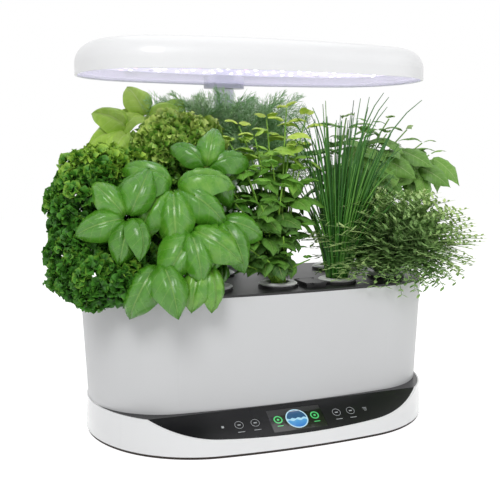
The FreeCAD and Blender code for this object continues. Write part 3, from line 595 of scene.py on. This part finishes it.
def leafShape(spec, seed):
    # an ovate blade one unit long: domed, creased at the midrib, blistered between its side veins and
    # bent down on an arc
    rng = random.Random(seed)
    lean = rng.uniform(-0.10, 0.10)
    wave = rng.uniform(0, 6)
    bend = spec["droop"] * rng.uniform(0.8, 1.2)

    def shape(u, v):
        side = abs(v)
        half = spec["width"] / 2 * math.sin(math.pi * min(1, u + 0.02) ** spec["fullest"]) ** spec["blunt"]
        half *= 1 + spec["teeth"] * (side > 0.99) * (1 if int(u * 40) % 2 else -1)
        rise = spec["dome"] * half * (1 - side * side) - spec["crease"] * half * max(0, 1 - 4 * side) ** 2
        blister = abs(math.sin(math.pi * (u * spec["veins"] - side * veinSlant)))
        rise += spec["puff"] * blister * side * (1.1 - side) * 3
        rise += spec["ripple"] * side ** 3 * math.sin(wave + u * 11 + (v > 0) * 2)
        turn = bend * u
        x, drop = math.sin(turn) / bend, (1 - math.cos(turn)) / bend
        y = v * half + lean * u * u * 0.5
        return Vector((x + rise * math.sin(turn), y, rise * math.cos(turn) - drop))

    return shape


def leafModels(spec, rows, columns, kinds=3):
    return [sheetModel(rows, columns, leafShape(spec, n + 1)) for n in range(kinds)]


def aimed(place, along, up, size, roll=0.0):
    # a matrix that puts a unit leaf at place, its midrib along, its face to up
    ahead = Vector(along).normalized()
    side = Vector(up).cross(ahead)
    side = side.normalized() if side.length > 1e-4 else Vector((0, 1, 0))
    face = ahead.cross(side)
    turn = Matrix((ahead, side, face)).transposed().to_4x4()
    return Matrix.Translation(place) @ turn @ Matrix.Rotation(roll, 4, "X") @ Matrix.Scale(size, 4)


def anyWay():
    return Vector((random.uniform(-1, 1), random.uniform(-1, 1), random.uniform(-1, 1)))


def bowed(base, tip, rise=0.6, steps=9, arch=-1.0, sway=Vector((0, 0, 0))):
    # a stem's line: it leaves the pod steeply, at least arch high, and bends out to its tip
    base, tip = Vector(base), Vector(tip)
    elbow = base.lerp(tip, 0.30) + sway
    elbow.z = max(base.z + (tip.z - base.z) * rise, base.z + arch)
    shares = [n / (steps - 1) for n in range(steps)]
    return [base * (1 - t) ** 2 + elbow * (2 * t * (1 - t)) + tip * t * t for t in shares]


def along(line, share):
    # the place and the heading at a share of a stem's length
    spot = share * (len(line) - 1)
    n = min(int(spot), len(line) - 2)
    return line[n].lerp(line[n + 1], spot - n), (line[n + 1] - line[n]).normalized()


def overBall(count, top=1.0, bottom=-1.0):
    # directions spread evenly over a ball on the golden angle
    for n in range(count):
        up = top + (bottom - top) * (n + 0.5) / count
        flat = math.sqrt(1 - up * up)
        yield Vector((flat * math.cos(n * golden), flat * math.sin(n * golden), up))


def podSpot(name, n, spread=0.008):
    # where shoot n of a herb comes out of its foam
    turn = n * golden
    reach = spread * math.sqrt((n % 9 + 0.5) / 9)
    x, y = pods[name]
    return Vector((x + reach * math.cos(turn), y + reach * math.sin(turn), podTop))


# Leaf skin: tone, partly random and partly painted shade and light, picks between dark, middle and light,
# edge makes the tips paler, and the midrib and side veins are paler and dent the surface
def leafFinish(name, spec):
    sheet = Sheet(name)
    tone = sheet.node("Attribute", {"attribute_name": "tone"}, out="Fac")
    mottle = sheet.noise(spec.get("mottle", 160), 3)
    uv = sheet.node("UVMap", {"uv_map": "leaf"})
    u = sheet.node("SeparateXYZ", None, [uv])
    mixed = tone * 0.8 + mottle * 0.35 - 0.08
    if spec.get("edge"):
        mixed = mixed + (u - 0.6) * spec["edge"]
    stops = [(0.0, spec["dark"]), (0.5, spec["middle"]), (1.0, spec["light"])]
    base = sheet.node("ValToRGB", {"stops": stops}, [mixed])
    values = {"Roughness": mottle * 0.15 + spec["rough"]}
    if spec.get("veins"):
        v = sheet.node("SeparateXYZ", None, [uv], "Y")
        side = sheet.node("Math", {"operation": "ABSOLUTE"}, [v - 0.5]) * 2
        midrib = side < 0.04
        stripes = sheet.node("Math", {"operation": "PINGPONG"}, [u * spec["veins"] - side * veinSlant, 0.5])
        sideVein = (stripes < 0.04) * (side < 0.9)
        mask = sheet.node("Math", {"operation": "MAXIMUM"}, [midrib, sideVein * 0.5])
        base = sheet.blend(mask * 0.5, base, rgba(spec["vein"]))
        values["Normal"] = sheet.bump(sheet.noise(1400, 2) * 0.3 - mask, 0.5, 0.0004)
    else:
        values["Normal"] = sheet.bump(mottle, 0.4, 0.0005)
    values["Base Color"] = base
    values["Specular IOR Level"] = spec.get("gloss", 0.4)
    return sheet.finish(values)


def paintedShadeAndLightTone(place, heart, reach, paintedTopLight=0.18):
    # painted shade and light: leaves deep inside a plant are darker than those on its outside, as painted
    # shade, and the top is the palest, as painted light from above
    depth = min(1.0, (place - heart).length / reach)
    return 0.10 + 0.55 * depth ** 1.5 + paintedTopLight * (place.z - heart.z) / reach + random.uniform(-0.10, 0.12)


def growRosettes(bed, models, pod, plant):
    # leaves from one point, seen from facing, each heading counted in degrees from the right
    facing = Vector(plant["facing"]).normalized()
    across = Vector((0, 0, 1)).cross(facing).normalized()
    upward = facing.cross(across)
    for n, (centre, headings, size) in enumerate(plant["rosettes"]):
        size *= plant.get("rosetteScale", 1.0)
        if "rosetteStem" in plant:
            bed.stem(bowed(podSpot(pod, n), centre), *plant["rosetteStem"], tone=0.6)
        for heading in headings:
            turn = math.radians(heading)
            way = across * math.cos(turn) + upward * math.sin(turn) + facing * random.uniform(0.15, 0.70)
            face = facing + Vector((0, 0, 0.5)) + anyWay() * 0.35
            length = size * random.uniform(0.92, 1.10)
            where = aimed(Vector(centre) + way * size * 0.10, way, face, length, random.uniform(-0.25, 0.25))
            bed.add(random.choice(models), where, plant["rosetteTone"] + random.uniform(-0.10, 0.14))


def growStems(bed, models, pod, plant):
    # a stem to each tip, with a pair of leaves every pitch of its height, small and upright at the tip
    heart = Vector(plant["heart"])
    for n, tip in enumerate(plant["tips"]):
        levels = max(2, int((tip[2] - podTop) / plant["pitch"]))
        line = bowed(podSpot(pod, n), tip)
        if not clearPlace(np.array([spot[:] for spot in line[2:]])):
            continue
        bed.stem(line, plant["stem"], plant["stem"] * 0.55, tone=0.6)
        for level in range(levels):
            place, ahead = along(line, 1 - (1 - plant["from"]) * level / levels)
            size = plant["size"] * min(1.0, plant.get("young", 0.42) + 0.24 * level)
            size *= random.uniform(0.85, 1.12)
            first = n * golden + level * math.pi / 2 + random.uniform(-0.3, 0.3)
            for half in (0, math.pi):
                turn = first + half + random.uniform(-0.35, 0.35)
                out = Vector((math.cos(turn), math.sin(turn), 0))
                lift = max(-0.8, plant["lift"] - plant.get("fall", 0.12) * level)
                lift += random.uniform(-0.25, 0.25)
                way = out + Vector((0, 0, lift)) + ahead * 0.25
                leafBase = place + way.normalized() * plant["stalk"] * size
                face = Vector((0, 0, 1)) + out * 0.3
                where = aimed(leafBase, way, face, size, random.uniform(-0.35, 0.35))
                model = random.choice(models)
                # the leaf's tone carries painted shade deep in the plant and painted light at its top
                tone = paintedShadeAndLightTone(leafBase, heart, plant["reach"], plant.get("paintedTopLight", 0.18))
                bed.add(model, where, tone + plant.get("tone", 0))


# Basil at the front: large, glossy, blistered leaves in rosettes, over darker ones on the stems, darkened as
# painted shade
basil = {
    "leaf": {"width": 0.66, "fullest": 0.78, "blunt": 0.70, "teeth": 0.0, "puff": 0.050, "veins": 6,
             "dome": 0.85, "crease": 0.30, "ripple": 0.03, "droop": 1.05},
    "skin": {"dark": (0.012, 0.055, 0.006), "middle": (0.085, 0.29, 0.018), "light": (0.42, 0.70, 0.10),
             "vein": (0.32, 0.55, 0.12), "veins": 6, "rough": 0.20, "gloss": 0.6, "mottle": 90},
    "facing": (-0.2, -1, 0.45),
    "rosettes": [
        ((-0.128, -0.086, 0.284), (10, 150, 172, 226, 268, 326), 0.056),
        ((-0.181, -0.098, 0.256), (62, 135, 195, 258, 300), 0.047),
        ((-0.088, -0.074, 0.304), (22, 78, 135, 250, 310), 0.044),
        ((-0.152, -0.110, 0.210), (238, 285), 0.057),
        ((-0.118, -0.102, 0.242), (245, 282, 322), 0.058),
        ((-0.104, -0.106, 0.206), (250, 290), 0.046),
        ((-0.084, -0.094, 0.250), (265, 300, 345), 0.052),
    ],
    "rosetteScale": 1.06,
    "rosetteStem": (0.0022, 0.0013),
    "rosetteTone": 0.46,
    "tips": [
        (-0.150, -0.070, 0.262), (-0.122, -0.060, 0.276), (-0.096, -0.056, 0.290), (-0.066, -0.070, 0.276),
        (-0.092, -0.092, 0.226), (-0.128, -0.096, 0.220), (-0.060, -0.088, 0.236), (-0.050, -0.060, 0.262),
        (-0.108, -0.084, 0.205), (-0.076, -0.088, 0.208),
    ],
    "pitch": 0.028,
    "heart": (-0.110, -0.070, 0.235),
    "reach": 0.090,
    "stem": 0.0020,
    "from": 0.35,
    "size": 0.048,
    "lift": 0.20,
    "stalk": 0.2,
    # darkens the stem leaves further, as painted shade under the rosettes
    "tone": -0.18,
}
basilModels = leafModels(basil["leaf"], 15, 12, 4)
bed = Bed()
growRosettes(bed, basilModels, "basil", basil)
growStems(bed, basilModels, "basil", basil)
bed.piece("basilPiece", leafFinish("basilSkin", basil["skin"]), "basil_plant", "basil_leaf")

# The paler basil behind on the left
paleBasil = {
    "leaf": dict(basil["leaf"], width=0.78, puff=0.016, dome=0.55),
    "skin": {"dark": (0.06, 0.17, 0.015), "middle": (0.28, 0.52, 0.04), "light": (0.60, 0.80, 0.15),
             "vein": (0.56, 0.70, 0.24), "veins": 6, "rough": 0.36},
    "facing": (-0.2, -1, 0.5),
    "rosettes": [
        ((-0.119, 0.060, 0.362), (20, 72, 118, 168, 205, 335), 0.044),
        ((-0.142, 0.048, 0.346), (150, 190, 235), 0.048),
        ((-0.096, 0.066, 0.350), (5, 55, 110), 0.040),
    ],
    "rosetteStem": (0.0018, 0.0011),
    "rosetteTone": 0.66,
    "tips": [(-0.148, 0.050, 0.320), (-0.122, 0.040, 0.330), (-0.110, 0.066, 0.334), (-0.158, 0.044, 0.298)],
    "pitch": 0.034,
    "heart": (-0.128, 0.050, 0.310),
    "reach": 0.07,
    "stem": 0.0018,
    "from": 0.4,
    "size": 0.042,
    "lift": 0.3,
    "stalk": 0.2,
    "tone": -0.10,
}
paleModels = leafModels(paleBasil["leaf"], 12, 8)
bed = Bed()
growRosettes(bed, paleModels, "rearBasil", paleBasil)
growStems(bed, paleModels, "rearBasil", paleBasil)
bed.piece("paleBasilPiece", leafFinish("paleBasilSkin", paleBasil["skin"]), "rear_basil_plant",
          "light_basil_leaf")

# Mint: upright stems with a bright pair at each tip and dark leaves low down, the brightness painted light
# from above and the darkness painted shade
mint = {
    "leaf": {"width": 0.74, "fullest": 0.68, "blunt": 0.85, "teeth": 0.05, "puff": 0.022, "veins": 7,
             "dome": 0.35, "crease": 0.20, "ripple": 0.03, "droop": 0.7},
    "skin": {"dark": (0.020, 0.075, 0.012), "middle": (0.16, 0.40, 0.04), "light": (0.66, 0.82, 0.12),
             "vein": (0.46, 0.62, 0.20), "veins": 7, "rough": 0.5},
    "tips": [
        (-0.038, -0.040, 0.352), (-0.004, -0.040, 0.360), (0.018, -0.046, 0.372), (0.044, -0.044, 0.364),
        (-0.046, -0.082, 0.304), (-0.014, -0.076, 0.322), (-0.006, -0.090, 0.284), (-0.054, -0.052, 0.334),
        (0.024, -0.070, 0.302), (-0.032, -0.094, 0.266), (-0.060, -0.088, 0.268), (0.016, -0.060, 0.328),
        (-0.026, -0.060, 0.338), (-0.072, -0.084, 0.240), (0.018, -0.086, 0.242), (-0.052, -0.100, 0.222),
        (-0.026, -0.096, 0.206), (0.004, -0.098, 0.216), (0.034, -0.084, 0.220), (0.010, -0.050, 0.270),
        (-0.036, -0.070, 0.250), (-0.064, -0.066, 0.288), (-0.070, -0.052, 0.310), (0.030, -0.050, 0.300),
        (-0.044, -0.092, 0.236), (0.026, -0.096, 0.204), (-0.010, -0.104, 0.232), (-0.066, -0.098, 0.206),
        (-0.076, -0.070, 0.262), (-0.060, -0.056, 0.240), (-0.072, -0.090, 0.222), (-0.048, -0.078, 0.212),
    ],
    "pitch": 0.021,
    "heart": (-0.014, -0.056, 0.250),
    "reach": 0.115,
    "stem": 0.0014,
    "from": 0.06,
    "size": 0.031,
    "lift": 0.35,
    "fall": 0.26,
    "stalk": 0.22,
    "young": 0.55,
    # how much paler the top leaves are made, as painted light from above
    "paintedTopLight": 0.42,
}
bed = Bed()
growStems(bed, leafModels(mint["leaf"], 10, 6), "mint", mint)
bed.piece("mintPiece", leafFinish("mintSkin", mint["skin"]), "mint_plant", "mint_leaf")

# The narrow-leaved basil behind on the right: pointed leaves above, broader ones that hang below
hanging = (222, 252, 284, 320)
narrowBasil = {
    "leaf": {"width": 0.36, "fullest": 0.82, "blunt": 0.95, "teeth": 0.05, "puff": 0.008, "veins": 8,
             "dome": 0.30, "crease": 0.25, "ripple": 0.02, "droop": 0.8},
    "skin": {"dark": (0.04, 0.13, 0.02), "middle": (0.18, 0.38, 0.06), "light": (0.50, 0.66, 0.20),
             "vein": (0.50, 0.66, 0.28), "veins": 8, "rough": 0.4},
    "facing": (-0.2, -1, 0.35),
    "rosettes": [
        ((0.160, 0.034, 0.330), hanging, 0.050),
        ((0.186, 0.030, 0.316), hanging, 0.050),
        ((0.214, 0.034, 0.326), hanging, 0.050),
        ((0.240, 0.030, 0.304), hanging, 0.050),
        ((0.268, 0.040, 0.316), hanging, 0.050),
    ],
    "rosetteTone": 0.38,
    "tips": [
        (0.150, 0.052, 0.352), (0.184, 0.058, 0.360), (0.214, 0.058, 0.366), (0.240, 0.054, 0.352),
        (0.262, 0.050, 0.334), (0.164, 0.036, 0.320), (0.198, 0.034, 0.322), (0.230, 0.036, 0.304),
        (0.128, 0.046, 0.330), (0.252, 0.034, 0.290), (0.176, 0.066, 0.338), (0.140, 0.040, 0.366),
        (0.204, 0.046, 0.346), (0.270, 0.044, 0.318), (0.222, 0.030, 0.280),
    ],
    "pitch": 0.030,
    "heart": (0.180, 0.040, 0.290),
    "reach": 0.10,
    "stem": 0.0017,
    "from": 0.42,
    "size": 0.056,
    "lift": 0.25,
    "stalk": 0.15,
}
narrowModels = leafModels(narrowBasil["leaf"], 14, 6)
broadModels = leafModels(dict(narrowBasil["leaf"], width=0.56, droop=0.6), 12, 6)
bed = Bed()
growStems(bed, narrowModels, "narrowBasil", narrowBasil)
growRosettes(bed, broadModels, "narrowBasil", narrowBasil)
bed.piece("narrowBasilPiece", leafFinish("narrowSkin", narrowBasil["skin"]), "thai_basil_plant",
          "thai_basil_leaf")


# Curly parsley: a frill is a ruffled fan, a floret a ball of frills, a lobe is covered in florets
floret = {"frills": 16, "frillSize": 0.78, "kinds": 6, "frillKinds": 5}


def frillShape(seed):
    rng = random.Random(seed)
    phase = rng.uniform(0, 6)
    waves = rng.choice((4, 5, 6))

    def shape(u, v):
        turn = v * 1.3
        ruffle = 0.34 * u ** 1.5 * math.sin(waves * turn + phase) + 0.22 * u * u
        return Vector((u * math.cos(turn) * 0.9, u * math.sin(turn) * 0.8, ruffle))

    return shape


def floretModel(seed):
    # one unit in radius, its frills pointing out and up
    random.seed(seed)
    small = Bed()
    for out in overBall(floret["frills"], 1.0, -0.35):
        way = out + anyWay() * 0.5
        place = out * random.uniform(0.35, 0.62)
        where = aimed(place, way, anyWay(), floret["frillSize"] * random.uniform(0.8, 1.15))
        small.add(random.choice(frillModels), where, random.uniform(0.36, 0.64), False)
    return small.model()


frillModels = [sheetModel(2, 6, frillShape(n)) for n in range(floret["frillKinds"])]
floretModels = [floretModel(n) for n in range(floret["kinds"])]
random.seed(23)


def inLobe(place, lobe, share):
    heart, reach = lobe
    return sum(((place[k] - heart[k]) / reach[k]) ** 2 for k in range(3)) < share * share


def curlyPlant(bed, pod, plant):
    # florets set close over each lobe, none where another lobe hides them; florets on a lobe's upper side and
    # high on the plant are paler and yellower as painted light, and those set deeper in a lobe are darker as
    # painted shade
    size = plant["size"]
    for number, (heart, reach) in enumerate(plant["lobes"]):
        bed.stem(bowed(podSpot(pod, number * 3), heart, 0.7), 0.0022, 0.0015, tone=0.45)
        area = 4 * math.pi * (reach[0] * reach[1] * reach[2]) ** (2 / 3)
        for out in overBall(int(1.75 * area / (math.pi * size * size))):
            deep = 1 - 0.22 * random.random() ** 2
            place = Vector(heart) + Vector([out[k] * reach[k] for k in range(3)]) * deep
            place += anyWay() * size * 0.25
            if any(inLobe(place, lobe, 0.80) for lobe in plant["lobes"] if lobe[0] != heart):
                continue
            up = (out + Vector((0, 0, 0.5))).normalized()
            turn = up.to_track_quat("Z", "Y").to_matrix().to_4x4()
            spin = Matrix.Rotation(random.uniform(0, 6.28), 4, "Z")
            grow = Matrix.Scale(size * random.uniform(0.82, 1.12), 4)
            where = Matrix.Translation(place) @ turn @ spin @ grow
            # painted light on a lobe's upper side and high on the plant, painted shade on florets set deeper
            # in the lobe
            tone = 0.36 + 0.16 * out.z + random.uniform(-0.12, 0.18)
            tone += 0.32 * max(0, min(1, (place.z - plant["paintedLightAbove"]) / 0.03)) - 1.2 * (1 - deep)
            bed.add(random.choice(floretModels), where, max(0.02, min(0.95, tone)))


parsley = {
    "lobes": [
        ((-0.196, -0.034, 0.262), (0.050, 0.044, 0.062)),
        ((-0.216, -0.050, 0.212), (0.036, 0.040, 0.044)),
        ((-0.176, -0.066, 0.206), (0.032, 0.032, 0.040)),
        ((-0.212, -0.088, 0.194), (0.020, 0.020, 0.024)),
        ((-0.182, -0.104, 0.194), (0.018, 0.015, 0.020)),
        ((-0.166, -0.016, 0.292), (0.032, 0.032, 0.032)),
    ],
    "size": 0.0105,
    # florets above this height get painted light
    "paintedLightAbove": 0.292,
    "skin": {"dark": (0.008, 0.038, 0.005), "middle": (0.065, 0.25, 0.020), "light": (0.42, 0.66, 0.07),
             "rough": 0.45, "mottle": 420, "edge": 0.42},
}
bed = Bed()
curlyPlant(bed, "parsley", parsley)
bed.piece("parsleyPiece", leafFinish("curlyDark", parsley["skin"]), "parsley_plant", "parsley_leaf")

rearParsley = {
    "lobes": [
        ((-0.104, 0.000, 0.330), (0.040, 0.032, 0.034)),
        ((-0.080, 0.012, 0.300), (0.032, 0.028, 0.034)),
        ((-0.126, -0.010, 0.306), (0.026, 0.024, 0.028)),
        ((-0.064, 0.006, 0.334), (0.018, 0.018, 0.020)),
    ],
    "size": 0.0100,
    "paintedLightAbove": 0.305,
    "skin": dict(parsley["skin"], middle=(0.15, 0.38, 0.03), light=(0.66, 0.82, 0.20)),
}
bed = Bed()
curlyPlant(bed, "rearParsley", rearParsley)
bed.piece("rearParsleyPiece", leafFinish("curlyPale", rearParsley["skin"]), "rear_parsley_plant",
          "light_parsley_leaf")

# Dill: fronds of fine threads, four to a stem
dill = {
    "stems": 62,
    "middle": (-0.010, 0.066),
    "reach": (0.084, 0.028),
    "top": 0.388,
    "thick": (0.0009, 0.0005),
    "frondsAt": (1.0, 0.92, 0.82, 0.70),
    "frondSize": 0.036,
    "pairs": 13,
    "skin": {"dark": (0.12, 0.30, 0.08), "middle": (0.36, 0.66, 0.26), "light": (0.70, 0.90, 0.52),
             "rough": 0.55, "mottle": 200},
}


def frondModel(seed):
    rng = random.Random(seed)
    small = Bed()
    spine = [Vector((t, 0, 0.10 * math.sin(t * 2) - 0.12 * t * t)) for t in (0, 0.5, 1.0)]
    small.stem(spine, 0.012, 0.006, 3)
    for n in range(dill["pairs"]):
        share = 0.12 + 0.86 * n / dill["pairs"]
        place = along(spine, share)[0]
        length = 0.46 * math.sin(math.pi * (0.15 + 0.8 * share)) * rng.uniform(0.75, 1.15)
        for side in (-1, 1):
            way = Vector((0.75, side, rng.uniform(-0.6, 0.6))).normalized()
            end = place + way * length
            small.stem([place, end], 0.012, 0.005, 3)
            for split in (0.4, 0.7):
                start = place.lerp(end, split)
                fork = way + Vector((0.8, side * -0.5, rng.uniform(-0.5, 0.5)))
                small.stem([start, start + fork * length * 0.35], 0.010, 0.004, 3)
    return small.model()


fronds = [frondModel(n) for n in range(2)]
bed = Bed()
for n in range(dill["stems"]):
    turn = n * golden
    wide = math.sqrt((n + 0.5) / dill["stems"])
    x = dill["middle"][0] + dill["reach"][0] * wide * math.cos(turn)
    y = dill["middle"][1] + dill["reach"][1] * wide * math.sin(turn)
    z = dill["top"] - 0.040 * ((n * 5) % 7) / 6 - 0.020 * wide
    line = bowed(podSpot("dill", n), (x, y, z), 0.72)
    bed.stem(line, *dill["thick"], 3, 0.6)
    for k, share in enumerate(dill["frondsAt"]):
        place = along(line, share)[0]
        way = Vector((math.cos(turn + k * 2.1), math.sin(turn + k * 2.1) * 0.5, 0.75 - 0.25 * k))
        size = dill["frondSize"] * random.uniform(0.8, 1.15)
        model = random.choice(fronds)
        where = aimed(place, way, (0, 0, 1), size, random.uniform(0, 6))
        bed.add(model, where, random.uniform(0.35, 0.95))
bed.piece("dillPiece", leafFinish("dillSkin", dill["skin"]), "dill_plant", "dill_frond")

# Chives: a sheaf of round blades, and a few that lean well out
chives = {
    "blades": 150,
    "outer": 16,
    "spread": (0.056, 0.032),
    "height": (0.120, 0.226),
    "thick": (0.0019, 0.0004),
    "skin": {"dark": (0.010, 0.060, 0.010), "middle": (0.050, 0.20, 0.022), "light": (0.20, 0.44, 0.07),
             "rough": 0.32, "mottle": 60},
}
bed = Bed()
for n in range(chives["blades"]):
    turn = n * golden
    wide = math.sqrt((n + 0.5) / chives["blades"])
    base = podSpot("chives", n, 0.011)
    x = 0.010 + chives["spread"][0] * wide * math.cos(turn)
    y = -0.004 + chives["spread"][1] * wide * math.sin(turn)
    tip = base + Vector((x, y, random.uniform(*chives["height"]) - 0.040 * wide))
    line = bowed(base, tip, 0.50 + 0.1 * random.random(), 8)
    if max(spot.z for spot in line) < keepOut["ceiling"]:
        bed.stem(line, *chives["thick"], 5, random.uniform(0.05, 0.9))
for n in range(chives["outer"]):
    base = podSpot("chives", n * 3, 0.010)
    side = 1 if n % 2 else -0.7
    x = side * random.uniform(0.03, 0.09)
    tip = base + Vector((x, random.uniform(-0.03, 0.03), random.uniform(0.11, 0.222)))
    bed.stem(bowed(base, tip, 0.8, 8), *chives["thick"], 5, random.uniform(0.2, 0.9))
bed.piece("chivesPiece", leafFinish("chiveSkin", chives["skin"]), "chives_plant", "chive_blade")

# Thyme: wiry stems that arch over the pod, with small paired leaves
thyme = {
    "stems": 560,
    "heart": (0.148, -0.070, 0.212),
    "reach": (0.124, 0.060, 0.070),
    "arch": (0.030, 0.055),
    "thick": (0.0007, 0.0004),
    "pairs": 13,
    "leaf": (0.0068, 0.0098),
    "skin": {"dark": (0.060, 0.150, 0.045), "middle": (0.34, 0.54, 0.19), "light": (0.72, 0.84, 0.36),
             "rough": 0.55, "mottle": 300},
}


def tinyShape(u, v):
    return Vector((u, v * 0.24 * math.sin(math.pi * (0.1 + 0.8 * u)), -0.1 * u * u))


tinyLeaf = sheetModel(2, 2, tinyShape)
heart = Vector(thyme["heart"])
bed = Bed()
for n, out in enumerate(overBall(thyme["stems"], 1.0, -0.85)):
    deep = 1 - 0.45 * random.random() ** 1.6
    tip = heart + Vector([out[k] * thyme["reach"][k] for k in range(3)]) * deep
    line = bowed(podSpot("thyme", n, 0.010), tip, 0.9, 10, random.uniform(*thyme["arch"]), anyWay() * 0.020)
    if not clearPlace(np.array([spot[:] for spot in line[4:]])):
        continue
    bed.stem(line, *thyme["thick"], 3, 0.15 if n % 3 else 0.85)
    for k in range(thyme["pairs"]):
        place, ahead = along(line, 0.38 + 0.62 * k / (thyme["pairs"] - 1))
        for side in (0, math.pi):
            spin = k * math.pi / 2 + side + random.uniform(-0.4, 0.4)
            way = ahead * 0.7 + Vector((math.cos(spin), math.sin(spin), 0.25))
            where = aimed(place, way, (0, 0, 1), random.uniform(*thyme["leaf"]))
            # thyme leaves get painted shade deep in the plant and painted light at its top, lifted a little
            # overall
            bed.add(tinyLeaf, where, paintedShadeAndLightTone(place, heart, 0.085) + 0.10)
bed.piece("thymePiece", leafFinish("thymeSkin", thyme["skin"]), "thyme_plant", "thyme_leaf")
print("herbs")

# Floor, light and camera
stage = {"size": 6.0, "colour": (0.93, 0.93, 0.93), "lift": 0.60, "world": 0.46}


def seenRay(sheet):
    # 1 where the camera, a mirror or clear plastic sees the stage, 0 where the stage only lights the object
    rays = [sheet.node("LightPath", out="Is %s Ray" % kind) for kind in ("Camera", "Glossy", "Transmission")]
    seen = sheet.node("Math", {"operation": "MAXIMUM"}, rays[:2])
    return sheet.node("Math", {"operation": "MAXIMUM"}, [seen, rays[2]])


def floorFinish():
    sheet = Sheet("floorWhite")
    paint = sheet.blend(sheet.noise(40), shifted(stage["colour"], 0.995), rgba(stage["colour"]))
    matt = sheet.node("BsdfDiffuse", None, [paint])
    glow = sheet.node("Emission", None, [rgba((1, 1, 1)), stage["lift"]])
    bright = sheet.node("AddShader", None, [matt, glow])
    mixed = sheet.node("MixShader", None, [seenRay(sheet), matt, bright])
    sheet.node("OutputMaterial", None, {"Surface": mixed})
    return sheet.owner


bpy.ops.mesh.primitive_plane_add(size=stage["size"], location=(0, 0, -0.0004))
floor = bpy.context.active_object
floor.name = "floor"
floor.data.materials.append(floorFinish())

studio = Sheet("studio", bpy.data.worlds.new("studio"))
bpy.context.scene.world = studio.owner
level = seenRay(studio) * (1 - stage["world"]) + stage["world"]
sky = studio.node("Background", None, {"Color": rgba((1, 1, 1)), "Strength": level})
studio.node("OutputWorld", None, {"Surface": sky})

lights = {
    "key": {"place": (-0.9, -1.6, 1.7), "aim": (0, 0, 0.2), "size": 0.8, "watts": 22},
    "fill": {"place": (1.8, -1.2, 1.1), "aim": (0, 0, 0.2), "size": 1.8, "watts": 7},
    "top": {"place": (0.2, 0.5, 2.0), "aim": (0, 0, 0.2), "size": 1.6, "watts": 6},
}
for name, spec in lights.items():
    place = Vector(spec["place"])
    turn = (Vector(spec["aim"]) - place).to_track_quat("-Z", "Y").to_euler()
    bpy.ops.object.light_add(type="AREA", location=place, rotation=turn)
    light = bpy.context.active_object
    light.name = name
    light.data.size = spec["size"]
    light.data.energy = spec["watts"]

view = {"azimuth": -21.57, "rise": 10.15, "target": (0, 0, 0.150), "distance": 1.01354, "lens": 59.14,
        "shift": (-0.0140, 0.0885)}
azimuth, rise = math.radians(view["azimuth"]), math.radians(view["rise"])
back = Vector((math.sin(azimuth) * math.cos(rise), -math.cos(azimuth) * math.cos(rise), math.sin(rise)))
eye = Vector(view["target"]) + back * view["distance"]
bpy.ops.object.camera_add(location=eye, rotation=back.to_track_quat("Z", "Y").to_euler())
camera = bpy.context.active_object
camera.name = "camera"
camera.data.lens = view["lens"]
camera.data.sensor_width = 36
camera.data.shift_x, camera.data.shift_y = view["shift"]
camera.data.clip_end = 20
bpy.context.scene.camera = camera
bpy.context.scene.view_settings.view_transform = "Standard"
print("stage, lights and camera")
